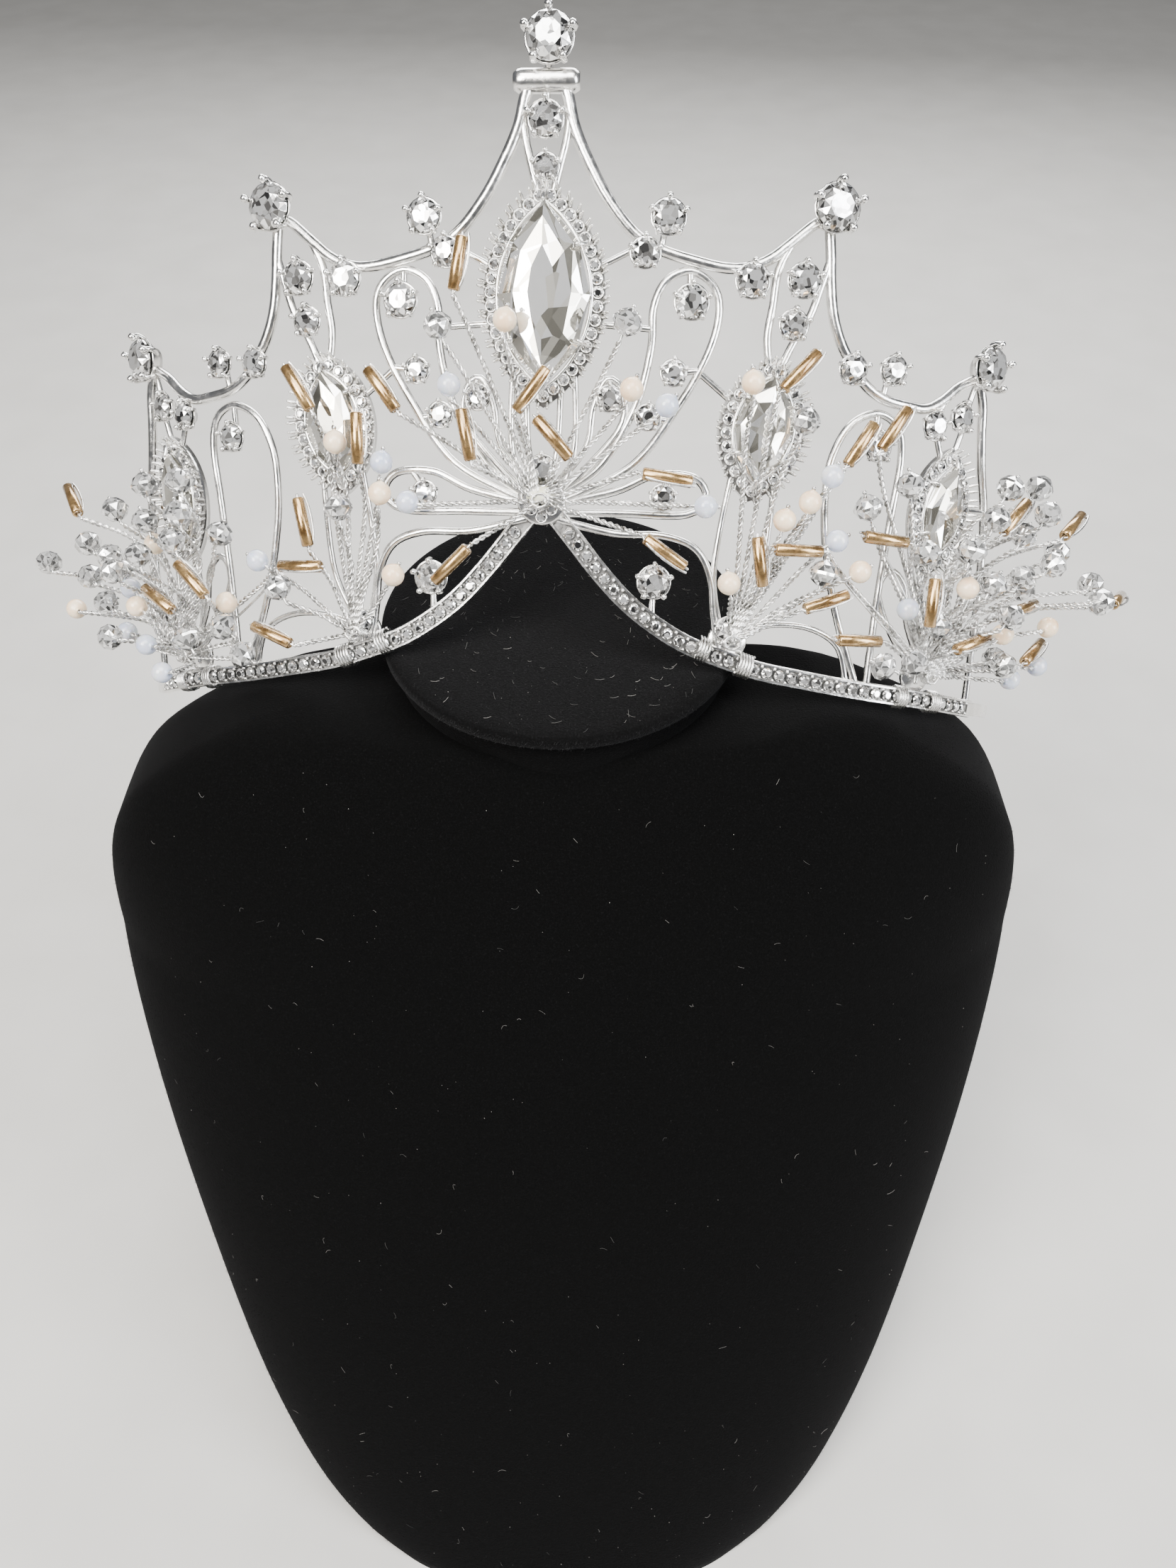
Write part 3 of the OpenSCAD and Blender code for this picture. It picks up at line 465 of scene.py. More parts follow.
def facet_material(name, stops, metallic, clear, cells=950):
    """Cut glass over foil: each facet, broken up by those behind it, gets its own random brightness, a
    painted reflection of the light it would throw back, under the coat's real reflection.
    """
    m, shader = material(name, (1, 1, 1), metallic, 0.04)
    put(shader, {"Transmission Weight": clear, "IOR": 1.56, "Coat Weight": 1, "Coat Roughness": 0.02})
    geometry, coords = new_node(shader, "NewGeometry"), new_node(shader, "TexCoord")
    snap, both = new_node(shader, "VectorMath"), new_node(shader, "VectorMath")
    snap.operation = "SNAP"
    snap.inputs[1].default_value = (0.03, 0.03, 0.03)
    behind, facet = new_node(shader, "TexVoronoi"), new_node(shader, "TexWhiteNoise")
    put(behind, {"Scale": cells})
    facet.noise_dimensions = "3D"
    link(geometry.outputs["True Normal"], snap.inputs[0])
    link(coords.outputs["Object"], behind.inputs["Vector"])
    link(snap.outputs["Vector"], both.inputs[0])
    link(behind.outputs["Color"], both.inputs[1])
    link(both.outputs["Vector"], facet.inputs["Vector"])
    # Painted sparkle: a random brightness for each facet, dark to white, stands in for the glints and dark
    # facets of lit cut glass.
    tint(shader, facet.outputs["Value"], stops)
    roughen(shader, noise(shader, 900, 2), 0.02, 0.07)
    return m


def pearl_material(name):
    m, shader = material(name, (0.9, 0.72, 0.58), 0, 0.28)
    put(shader, {"Subsurface Weight": 0.15, "Subsurface Radius": (0.002, 0.001, 0.0006), "Coat Weight": 0.5,
                 "Coat Roughness": 0.12})
    tint(shader, noise(shader, 350, 3), [(0.3, (0.92, 0.64, 0.4)), (0.7, (1, 0.84, 0.64))])
    roughen(shader, noise(shader, 1500, 3), 0.2, 0.36)
    return m


def opal_material(name):
    m, shader = material(name, (0.84, 0.88, 0.97), 0, 0.12)
    put(shader, {"Transmission Weight": 0.35, "IOR": 1.5, "Subsurface Weight": 0.3,
                 "Subsurface Radius": (0.001, 0.0015, 0.003), "Coat Weight": 0.6, "Coat Roughness": 0.05})
    tint(shader, noise(shader, 300, 3), [(0.3, (0.66, 0.74, 0.97)), (0.7, (0.93, 0.94, 0.99))])
    return m


def bugle_material(name):
    m, shader = material(name, (0.55, 0.36, 0.17), 0.85, 0.25)
    put(shader, {"Coat Weight": 1, "Coat Roughness": 0.03})
    tint(shader, noise(shader, 420, 3), [(0.3, (0.22, 0.12, 0.04)), (0.7, (0.58, 0.38, 0.17))])
    roughen(shader, noise(shader, 1300, 2), 0.16, 0.34)
    return m


def glue_material(name):
    m, shader = material(name, (0.8, 0.78, 0.6), 0, 0.3)
    put(shader, {"Subsurface Weight": 0.4, "Subsurface Radius": (0.002, 0.002, 0.001)})
    tint(shader, noise(shader, 500, 4), [(0.35, (0.6, 0.58, 0.4)), (0.65, (0.88, 0.87, 0.76))])
    bump(shader, noise(shader, 900, 4), 0.5, 0.0004)
    return m


def lint_material(name):
    m, shader = material(name, (0.4, 0.4, 0.38), 0, 0.8)
    tint(shader, noise(shader, 90, 2), [(0.35, (0.03, 0.03, 0.03)), (0.65, (0.2, 0.19, 0.18))])
    return m


def floor_material(name):
    m, shader = material(name, (0.5, 0.49, 0.47), 0, 0.6)
    tint(shader, noise(shader, 30, 4), [(0.3, (0.48, 0.47, 0.45)), (0.7, (0.52, 0.51, 0.49))])
    return m


SILVER = silver_material("plated_silver", 0.14, 0.3, 700, 0.25, 1, 0.78)
BOUND = silver_material("bound_wire", 0.2, 0.38, 1500, 0.3, 0.95, 0.42)
# Painted shade: a dark grey silver, about a fifth as bright, for the channel floor under the band's stones
# and the slope under the halo's stones.
RECESS_SHADE = silver_material("shadowed_silver", 0.3, 0.5, 900, 0.3, 0.22)
# Painted reflections: the facets of the round stones, foil, navettes and clear beads range from near black
# to white.
CRYSTAL = facet_material("cut_crystal", [(0.08, (0.05, 0.05, 0.05)), (0.25, (0.3, 0.29, 0.28)),
                                         (0.45, (0.75, 0.74, 0.72)), (0.6, (1, 1, 1))], 0.8, 0.05)
FOIL = facet_material("stone_foil", [(0.05, (0.1, 0.1, 0.1)), (0.6, (1, 1, 1))], 0.95, 0)
# Painted reflection: the navettes' warm cream stops stand in for warm surroundings seen in them.
POINTED = facet_material("cut_navette", [(0.1, (0.22, 0.21, 0.18)), (0.3, (0.5, 0.48, 0.42)),
                                         (0.55, (0.88, 0.85, 0.77)), (0.75, (1, 1, 1))], 0.75, 0.05, 210)
PEARL = pearl_material("cream_pearl")
OPAL = opal_material("milky_opal")
BUGLE = bugle_material("champagne_bugle")
CLEAR = facet_material("clear_bead", [(0.1, (0.14, 0.14, 0.14)), (0.35, (0.5, 0.5, 0.49)),
                                      (0.65, (1, 1, 1))], 0.55, 0.3)
GLUE = glue_material("clear_glue")
VELVET = velvet_material("black_velvet", 0.0008, 0.006, 0.03, 0.5)
# Painted light: the pad's velvet and pile are paler copies of the chest's, standing in for light falling on
# the pad's upward top.
PAD_VELVET_LIT = velvet_material("pad_velvet", 0.0015, 0.012, 0.05, 0.5)
PILE = velvet_material("velvet_pile", 0.004, 0.02, 0, 0)
PAD_PILE_LIT = velvet_material("pad_pile_lit", 0.012, 0.07, 0, 0)
LINT = lint_material("pale_lint")


# Bust
CHEST_LINE = np.array(smooth(CHEST, 0.01))


def chest_width(z):
    """Half-width of the chest at a height, smoothed through the chosen sections."""
    return float(np.interp(z / SHOULDER_Z, CHEST_LINE[:, 0], CHEST_LINE[:, 1])) * CHEST_W / 2


def chest_depth(w, z, inset=0.0):
    """The chest's front and rear at a height, and how far its sides fall back behind the front."""
    front = -FOOT_Y + z * tan(CHEST_LEAN) + inset
    rear = BACK_Y + (SHOULDER_BACK_Y - BACK_Y) * z / SHOULDER_Z - inset
    return front, rear, min(CHEST_ROUND * (w - inset), 0.45 * (rear - front))


def chest_point(w, z, a, inset=0.0):
    front, rear, fall = chest_depth(w, z, inset)
    w -= inset
    x, y = cos(a), sin(a)
    if y <= 0:
        return (copysign(w * abs(x) ** 0.8, x), front + fall - fall * abs(y) ** 1.1, z)
    return (copysign(w * abs(x) ** 0.25, x), front + fall + (rear - front - fall) * y ** 0.35, z)


def bust():
    shape = Shape()
    levels = [(SHOULDER_Z * i / CHEST_ROWS, 0) for i in range(CHEST_ROWS)]
    levels += [(SHOULDER_Z - 0.7, 0.1), (SHOULDER_Z - 0.2, 0.5), (SHOULDER_Z, 1.2)]
    points = [chest_point(chest_width(z), z, a, inset) for z, inset in levels
              for a in round_turns(CHEST_SIDES, 0.5)]
    shape.add(points, rings_faces(len(levels), CHEST_SIDES))
    r = NECK_CAP_R - NECK_INSET
    rings = np.array([(NECK_ROOT[0] * r, NECK_ROOT[1] * SHOULDER_Z, NECK_ROOT[2] * r), (0, SHOULDER_Z, r),
                      (0, NECK_TOP_Z - NECK_CAP_T, r)])
    steps = 12
    neck = [a + (b - a) * (i / steps) for a, b in zip(rings, rings[1:]) for i in range(steps)] + [rings[-1]]
    points = [(q * cos(a), y + q * sin(a), z) for y, z, q in neck for a in round_turns(NECK_SIDES)]
    shape.add(points, rings_faces(len(neck), NECK_SIDES))
    shape.piece("bust_velvet", [VELVET], ["neck_bust"], "velvet")


def pad():
    shape = Shape()
    r, z, low = NECK_CAP_R, NECK_TOP_Z, NECK_TOP_Z - NECK_CAP_T
    profile = [(r - 3, low), (r - 0.5, low), (r, low + 0.5), (r, z - 0.7), (r - 0.25, z - 0.2), (r - 0.8, z),
               (r - 3, z), (r * 0.5, z), (0.5, z)]
    lathe(shape, profile, 128)
    shape.piece("pad_velvet", [PAD_VELVET_LIT], ["neck_cap"], "velvet")


# Stones
def cut_stone(shape, d, matrix, turn=0.0, depth=0.36):
    """A round brilliant: octagonal table, star and kite facets, and a foiled pavilion."""
    r = d / 2
    girdle, crown = 0.1 * d, 0.15 * d

    def ring(share, n, z, off):
        return [polar(share * r, radians(turn) + a, z) for a in round_turns(n, off)]

    points = (ring(0.56, 8, girdle + crown, 0) + ring(0.8, 8, girdle + 0.6 * crown, 0.5)
              + ring(1, 16, girdle * 0.7, 0) + ring(1, 16, girdle * 0.3, 0) + ring(0.42, 8, -0.18 * d, 0.5)
              + [(0, 0, -depth * d)])
    t, m, g, b, p, culet = 0, 8, 16, 32, 48, 56
    faces = [tuple(range(8))]
    for j in range(8):
        k = (j + 1) % 8
        faces += [(t + j, m + j, t + k), (t + j, m + (j - 1) % 8, g + 2 * j), (t + j, g + 2 * j, m + j),
                  (m + j, g + 2 * j, g + 2 * j + 1), (m + j, g + 2 * j + 1, g + (2 * j + 2) % 16)]
    faces += [(g + j, b + j, b + (j + 1) % 16, g + (j + 1) % 16) for j in range(16)]
    shape.add(points, faces, matrix, 0, False)
    lower = []
    for j in range(8):
        lower += [(b + 2 * j, p + j, b + 2 * j + 1), (b + 2 * j + 1, p + j, b + (2 * j + 2) % 16),
                  (b + 2 * j, p + (j - 1) % 8, p + j), (p + (j - 1) % 8, culet, p + j)]
    shape.add(points, lower, matrix, 1, False)


def navette(length, w, n):
    a, b = w / 2, length / 2
    r = (a * a + b * b) / (2 * a)
    m = asin(b / r)
    return [(s * (r * cos(t) - r + a), s * r * sin(t)) for s in (1, -1)
            for t in (-m + 2 * m * i / n for i in range(n))]


def cut_navette(shape, length, w, matrix):
    """A pointed oval with a narrow table, long facets that run from tip to tip, and a foiled back."""
    n, sides = 4, 8
    # Each row: height and width as shares of the stone's, and its level as a share of the width
    rows = [(0.5, 0.3, 0.24), (0.8, 0.62, 0.205), (0.97, 0.86, 0.13), (1, 1, 0.07), (1, 1, 0.02),
            (0.6, 0.5, -0.13), (0.1, 0.1, -0.2)]
    girdle, last = 3, len(rows) - 1
    points = [(*q, z * w) for tall, wide, z in rows for q in navette(length * tall, w * wide, n)]
    crown, lower = [tuple(range(sides))], []
    for i in range(last):
        bucket = crown if i <= girdle else lower
        for j in range(sides):
            a, b, k = i * sides + j, (i + 1) * sides + j, (j + 1) % sides - j
            if i == girdle:
                bucket.append((a, b, b + k, a + k))
            else:
                bucket += [(a, b, b + k), (a, b + k, a + k)]
    lower.append(tuple(reversed(range(last * sides, (last + 1) * sides))))
    shape.add(points, crown, matrix, 0, False)
    shape.add(points, lower, matrix, 1, False)


def prong_setting(shape, d, matrix):
    """An open cup with five ball-ended prongs, the first one up the spire."""
    rise = CUP_RISE * d
    lathe(shape, [(0.3 * d, -0.15 * d), (0.36 * d, 0), (0.5 * d + RIM, rise * 0.9), (0.5 * d + RIM, rise),
                  (0.5 * d - 0.05, rise), (0.38 * d, 0.3 * rise), (0.1, 0.1 * rise)], 20, matrix)
    thick = 0.055 * d + 0.1
    for k in range(PRONGS):
        a = radians(90 + 360 * k / PRONGS)
        path = [(0.36 * d, 0.1 * rise), (0.5 * d + RIM, 0.8 * rise), (0.56 * d + 0.15, rise + 0.08 * d),
                (0.545 * d + 0.1, rise + 0.19 * d), (0.5 * d, rise + 0.235 * d)]
        tube(shape, [polar(q, a, z) for q, z in path], thick, 7, matrix)
        ball(shape, polar(0.52 * d + 0.12, a, rise + 0.225 * d), thick * 1.45, 8, matrix)


def stones_and_settings():
    stones, settings = Shape(), Shape()
    rows = [(n, s * u, v, d, s * pu, pv) for n, u, v, d, pu, pv in PAIRS for s in (-1, 1)] + MIDDLES
    for _, u, v, d, pu, pv in rows:
        cut_stone(stones, d, at(u, v, 0, CUP_RISE * d + SEAT_GAP), draw(0, 45))
        prong_setting(settings, d, at(u, v))
        tube(settings, posed([(u, v, -0.1 * d), (pu, pv, 0)]), STEM_D / 2, 8)
    names = [row[0] + end for row in PAIRS[:OWN_PAIRS] for end in ("_l", "_r")]
    names += [row[0] for row in MIDDLES] + ["small_stones"]
    stones.piece("round_stones", [CRYSTAL, FOIL], names, "crystal")
    return settings


def halo_plate(shape, place, length, w):
    """The plate behind a pointed oval, its raised lip, and the floor under the halo's stones, darkened as
    painted shade.
    """
    n, z = 32, PLATE_T / 2
    inner = navette(length - 0.6, w - 0.4, n)
    outer = navette(length + 2.6 * HALO_W, w + 2 * HALO_W, n)
    lip = navette(length + HALO_LIP, w + HALO_LIP, n)
    loops = [(inner, -z), (outer, -z), (outer, z * 0.4), (lip, z), (lip, z + 0.5), (inner, z + 0.5)]
    points = [(*q, h) for ring, h in loops for q in ring]
    faces = rings_faces(len(loops), 2 * n, True)
    shape.add(points, faces[:4 * n] + faces[6 * n:], place)
    # Painted shade: the faces under the halo's stones take the dark silver.
    shape.add(points, faces[4 * n:6 * n], place, 1)


def halo_stone(stones, seat):
    cut_stone(stones, HALO_STONE_D, seat @ Matrix.Translation((0, 0, 0.45)), draw(0, 45), 0.2)


def halo_row(stones, shape, place, length, w):
    """The small stones round a pointed oval, each in a cup with two claws that point outward."""
    d = HALO_STONE_D
    route = navette(length + HALO_LIP + 1.05 * d, w + HALO_LIP + 0.85 * d, 200)
    path = np.array(route + [route[0]])
    run = distances(path)
    count = round(run[-1] / HALO_PITCH)
    for k in range(count):
        x, y = point_along(path, run, run[-1] * k / count)
        a = atan2(y * (w / length), x)
        seat = place @ Matrix.Translation((x, y, PLATE_T / 2 * 0.55))
        halo_stone(stones, seat)
        cup = [(0.3 * d, 0), (0.54 * d, 0.3), (0.58 * d, 0.62), (0.5 * d, 0.62), (0.3 * d, 0.35)]
        lathe(shape, cup, 10, seat)
        nx, ny = cos(a), sin(a)
        for off in (-0.45, 0.45):
            root = Vector((x + nx * 0.375 * d - ny * off * d, y + ny * 0.375 * d + nx * off * d, 0))
            tip = root + Vector((nx * CLAW_OUT, ny * CLAW_OUT, CLAW_RISE))
            tube(shape, [root, root.lerp(tip, 0.6), tip], [0.44, 0.4, 0.26], 5, place)


def navette_claws(shape, place, length, w):
    """A claw over each point of the stone, and two over each long side."""
    for k in (-1, 1):
        tip = [(0, k * (length / 2 + out), rise * w) for out, rise in ((1.3, 0), (1.1, 0.22), (-0.4, 0.27))]
        tube(shape, tip, [0.7, 0.6, 0.32], 8, place)
    for sx in (-1, 1):
        for sy in (-0.42, 0.42):
            x, y = sx * w * 0.42, sy * length * 0.62
            claw = [(x * 1.16, y * 1.03, 0.2), (x * 1.1, y * 1.02, 0.2 * w), (x * 0.92, y * 0.97, 0.25 * w)]
            tube(shape, claw, [0.45, 0.4, 0.28], 7, place)


def navettes_and_halos():
    """The pointed-oval stones, the halo round each, and the small stones on the middle hub."""
    stones, halo_stones, halos = Shape(), Shape(), Shape()
    names = []
    for name, u, v, lean, length, w in NAVETTES:
        for s, end in ((-1, "_l"), (1, "_r")) if u else ((1, ""),):
            names.append(name + end)
            place = at(s * u, v, s * lean)
            cut_navette(stones, length, w, place @ Matrix.Translation((0, 0, PLATE_T / 2 + SEAT_GAP)))
            halo_plate(halos, place, length, w)
            halo_row(halo_stones, halos, place, length, w)
            navette_claws(halos, place, length, w)
    u, v = hub_place(0)
    for du, dv in HUB_STONES:
        seat = at(u + du, v + dv, 0, HUB_T / 2)
        halo_stone(halo_stones, seat)
        lathe(halos, [(0.57, 0), (1.03, 0.3), (1.1, 0.62), (0.95, 0.62), (0.57, 0.35)], 10, seat)
    stones.piece("pointed_stones", [POINTED, FOIL], names, "crystal")
    halo_stones.piece("halo_stones", [CRYSTAL, FOIL], (), "crystal")
    return halos


# Band
def mirrored(half):
    """A closed section from the points of its right half, the lowest first."""
    return half + [(-x, y) for x, y in reversed(half)]


def sweep_section(shape, route, section, slot=0):
    """Sweeps a closed section of (sideways, outward) points along a route of the layout."""
    points = []
    for i, p in enumerate(route):
        a, b = route[max(i - 1, 0)], route[min(i + 1, len(route) - 1)]
        t = (Vector(wrap(*b)) - Vector(wrap(*a))).normalized()
        h = heading(p[0])
        out = Vector((sin(h) * cos(FLARE), -cos(h) * cos(FLARE), -sin(FLARE)))
        side = out.cross(t).normalized()
        out = t.cross(side)
        c = wrap(*p)
        points += [POSE @ (c + q[0] * side + q[1] * out) for q in section]
    shape.add(points, rings_faces(len(route), len(section)), None, slot, False)


def band(settings):
    """The channel that holds the band's stones, with painted shade on its floor and small beads of metal
    between them.
    """
    stones = Shape()
    u, c, o = BAND_W / 2, BAND_STONE_D / 2 + 0.2, BAND_T / 2
    f = o - CHANNEL_D
    channel = mirrored([(u - 0.15, -o), (u, -o + 0.15), (u, o - 0.2), (u - 0.15, o), (c + 0.05, o),
                        (c, o - 0.1), (c, f)])
    # Painted shade: a thin strip on the channel's floor, under the stones, in the dark silver.
    channel_shade = mirrored([(c - 0.02, f), (c - 0.02, f + 0.05)])
    half, t = STRIP_W / 2, STRIP_T / 2
    bar = mirrored([(half, -t), (half, t * 0.6), (half - 0.2, t)])
    end_u, end_v = BAND[-1]
    for s in (-1, 1):
        route = smooth(flip(BAND, s), 1)
        sweep_section(settings, route, channel)
        sweep_section(settings, route, channel_shade, 1)
        strip = smooth([(s * (end_u - 1), end_v), (s * (end_u + STRIP_LEN), end_v - 1.5)], 2)
        sweep_section(settings, strip, bar)
        run = distances(np.array([tuple(wrap(*p)) for p in route]))
        flat = np.array(route)[:, :2]
        q = BAND_START
        while q < run[-1] - BAND_END:
            pu, pv = point_along(flat, run, q)
            cut_stone(stones, BAND_STONE_D, at(pu, pv, draw(0, 45), f + SEAT_GAP + 0.25), depth=0.17)
            ahead = q + BAND_PITCH / 2
            mu, mv = point_along(flat, run, ahead)
            nu, nv = point_along(flat, run, ahead + 1)
            size = hypot(nu - mu, nv - mv)
            for k in (-1, 1):
                off = k * (c - 0.25)
                place = at(mu - (nv - mv) / size * off, mv + (nu - mu) / size * off, 0, o + 0.02)
                ball(settings, (0, 0, 0), METAL_BEAD_R, 7, place)
            q += BAND_PITCH
    stones.piece("band_stones", [CRYSTAL, FOIL], ["band_stones_l", "band_stones_r"], "crystal")


def hub_plate(shape, place, r, top):
    """A round plate with a softened edge, closed by the upper part of its profile."""
    low = -HUB_T / 2
    lathe(shape, [(0.1, low), (r - 0.3, low), (r, low + 0.3), *top], 24, place)


def frame_wires(settings):
    for s in (-1, 1):
        for d1, d2, points in WIRES:
            route = smooth(flip(points, s), 1.2)
            radii = [(d1 + (d2 - d1) * i / (len(route) - 1)) / 2 for i in range(len(route))]
            tube(settings, posed(route), radii, 12)
        for points in STEMS:
            tube(settings, posed(smooth(flip(points, s), 1.5)), STEM_D / 2, 10)
        for u, v, r in HUBS[1:]:
            hub_plate(settings, at(s * u, v), r, [(r, -0.2), (r - 0.3, 0.1), (0.1, 0.1)])
    tube(settings, posed(smooth(COLLAR, 1)), ARC_D, 16)
    u, v, r = HUBS[0]
    high = HUB_T / 2
    hub_plate(settings, at(u, v), r, [(r, high - 0.5), (r - 0.6, high), (0.1, high)])


# Sprays
def reach(kind):
    """From a bead's middle to where its wire may bend."""
    return {"bugle": BUGLE_LEN / 2 + 0.6, "crystal": CRYSTAL_D / 2 + 0.5}.get(kind, PEARL_D / 2 + 0.5)


def stem_points(kind, hub, u, v, w, turn):
    """A stem's start in its hub, its rise, and both ends of the bead's bore."""
    start = np.array((*hub_place(hub), HUB_OUT), float)
    lay = np.array(polar(1, radians(turn), 0))
    bead = np.array((u, v, w), float)
    near = bead - lay * reach(kind)
    run = near - start
    length = np.linalg.norm(run)
    flat = np.array((run[0], run[1], 0))
    mid = start + (1 - min(RISE_RUN / length, 0.45)) * flat + np.array((0, 0, LIFT * length))
    return start, mid, near, bead + lay * reach(kind)


def twisted(shape, path):
    """Two strands wound round each other along a path in millimetres."""
    pts = np.array([tuple(p) for p in path], float)
    run = distances(pts)
    q = np.linspace(0, run[-1], max(4, int(run[-1] / TWIST_PITCH * 6)))
    line = np.stack(point_along(pts, run, q), 1)
    strands = ([], [])
    for p, (side, up), s in zip(line, frames_along(line)[1], q):
        for k in (0, 1):
            a = 2 * pi * s / TWIST_PITCH + pi * k
            strands[k].append(p + STRAND_OFF * (cos(a) * side + sin(a) * up))
    for strand in strands:
        tube(shape, strand, STRAND_R, 5, domed=False)


def faceted_bead(shape, matrix, d):
    """A cut bead: a belt of squares between two rows of slanting facets on each side."""
    r, n = d / 2, 10
    # Each row: radius and height as shares of r, and its turn as a share of a facet
    rows = [(0.3, -0.86, 0), (0.74, -0.56, 0.5), (1, -0.1, 0), (1, 0.1, 0), (0.74, 0.56, 0.5),
            (0.3, 0.86, 0)]
    points = []
    for share, z, off in rows:
        points += [polar(share * r, a, z * r) for a in round_turns(n, off)]
    last = len(rows) - 1
    faces = [tuple(reversed(range(n))), tuple(range(last * n, (last + 1) * n))]
    for i in range(last):
        for j in range(n):
            a, b, k = i * n, (i + 1) * n, (j + 1) % n
            if rows[i][2] == rows[i + 1][2]:
                faces.append((a + j, a + k, b + k, b + j))
            elif rows[i][2] < rows[i + 1][2]:
                faces += [(a + j, a + k, b + j), (a + k, b + k, b + j)]
            else:
                faces += [(a + j, a + k, b + k), (a + j, b + k, b + j)]
    shape.add(points, faces, matrix, 0, False)


def bead_on_wire(wires, beads, row):
    """A bead with the wire that holds it: through the bore, and back along a bugle's side."""
    kind = row[0]
    start, mid, near, far = stem_points(*row)
    c0, c1 = POSE @ wrap(*near), POSE @ wrap(*far)
    centre, axis = (c0 + c1) / 2, (c1 - c0).normalized()
    rise = start + (mid - start) * 0.5 + np.array((0, 0, 0.4))
    twisted(wires, posed(smooth((start, rise, mid, near), 1.2)))
    place = Matrix.Translation(centre) @ axis.to_track_quat("Z", "Y").to_matrix().to_4x4()
    half = {"bugle": BUGLE_LEN, "crystal": CRYSTAL_D * 0.86}.get(kind, PEARL_D) / 2
    tube(wires, [c0, centre + axis * (half + 0.5)], BORE_WIRE_R, 6)
    if kind == "bugle":
        side = axis.cross(Vector((0, 0, 1))).normalized()
        r, hole = BUGLE_D / 2, 0.55
        profile = [(hole, -half), (r - 0.25, -half), (r, -half + 0.25), (r, half - 0.25), (r - 0.25, half),
                   (hole, half)]
        lathe(beads[kind], profile, 14, place, True)
        loop = []
        for k in range(17):
            t = k / 16
            out = (r + 0.55) * sin(pi * min(1, 0.1 + t)) ** 0.35
            loop.append(centre + axis * (half + 0.5 - (2 * half + 1.6) * t) + side * out)
        tube(wires, loop, STRAND_R, 6)
    elif kind == "crystal":
        faceted_bead(beads[kind], place, CRYSTAL_D)
        ball(wires, centre + axis * (half + 0.5), 0.45, 8)
    else:
        r = (PEARL_D if kind == "pearl" else OPAL_D) / 2
        rows = 14
        turns = [pi * i / rows for i in range(rows + 1)]
        profile = [(max(0.5, r * sin(a)), -r * cos(a) * 0.99) for a in turns]
        lathe(beads[kind], profile, 24, place)
        ball(wires, centre + axis * (half + 0.35), 0.42, 8)
    return start, mid, near


def coil(shape, u, v, slope, turns):
    """Wire bound round the band, which slopes there."""
    r = BAND_W / 2 + 0.35
    du, dv = 1 / hypot(1, slope), slope / hypot(1, slope)
    path = []
    steps = 12
    for i in range(turns * steps + 1):
        a = 2 * pi * i / steps
        t = (i / steps - turns / 2) * 2.3 * COIL_R
        path.append((u + du * t - dv * r * cos(a), v + dv * t + du * r * cos(a), r * sin(a)))
    tube(shape, posed(path), COIL_R, 6)


def loose_wire(shape, start, mid, near):
    """A fine wire that strays from a stem on its way to the same bead."""
    sway = np.array((draw(-1.8, 1.8), draw(-1.2, 1.2), draw(-1, 0.6)))
    route = (start + sway * 0.3, (start + mid) / 2 + sway, mid + sway * 0.6, near)
    tube(shape, posed(smooth(route, 2)), FINE_WIRE_R, 5)


def binding(shape, n):
    """Turns of wire that bind the stems at a hub."""
    for k in range(BINDINGS):
        a = 2 * pi * k / BINDINGS + 0.3 * n
        ring = []
        for i in range(26):
            t = 2 * pi * i / 12
            r = 1.5 + 0.15 * sin(3 * t + k)
            ring.append((r * cos(t + a), r * sin(t + a) * 0.8, HUB_OUT - 1 + 0.07 * i + 0.1 * k))
        tube(shape, ring, FINE_WIRE_R, 6, at(*hub_place(n)))


def bare_end(shape, n):
    """A bound wire without a bead, curled at its tip."""
    u, v = hub_place(n)
    a = radians(draw(15, 165))
    far = draw(10, 24)
    bow = draw(-2.5, 2.5)
    tip = (u + far * cos(a), v + far * sin(a), draw(3, 7.5))
    half = ((u + tip[0]) / 2 - bow * sin(a), (v + tip[1]) / 2 + bow * cos(a), HUB_OUT + 1.5)
    curl = [np.array(tip) + polar(0.8, a + b, 0) for b in (0.8, 2.2, 3.6)]
    twisted(shape, posed(smooth([(u, v, HUB_OUT), half, tip, *curl], 1.2)))


def sprays():
    wires, extra = Shape(), Shape()
    kinds = {"pearl": ("pearls", PEARL), "opal": ("opals", OPAL), "crystal": ("clear_beads", CLEAR),
             "bugle": ("bugles", BUGLE)}
    beads, more = {kind: Shape() for kind in kinds}, {kind: Shape() for kind in kinds}
    for row in BEADS:
        start, mid, near = bead_on_wire(wires, beads, row)
        if abs(row[1]) == 2:
            loose_wire(extra, start, mid, near)
    for (kind, hub), places in EXTRA_BEADS.items():
        for place in places:
            bead_on_wire(extra, more, (kind, hub, *place))
    for n in range(-2, 3):
        binding(wires, n)
    for n in (-2, -2, -2, 2, 2, 2):
        bare_end(extra, n)
    for s in (-1, 1):
        for u, v, slope, turns in COILS:
            coil(extra, s * u, v, s * slope, turns)
    wires.piece("spray_wire", [BOUND], ["spray_wires"], "wire")
    extra.piece("spray_wire_fine", [BOUND], (), "wire")
    for kind, (name, look) in kinds.items():
        beads[kind].piece(name, [look], [kind + "_beads"], kind)
    for kind, (_, look) in kinds.items():
        more[kind].piece("end_" + kind + "s", [look], (), kind)


def chest_at(x, z):
    """The front surface's point straight in front of a place across and up the chest."""
    w = chest_width(z)
    front, _, fall = chest_depth(w, z)
    k = min(1, abs(x / w) ** (1 / 0.8))
    return front + fall - fall * abs(sin(acos(k))) ** 1.1


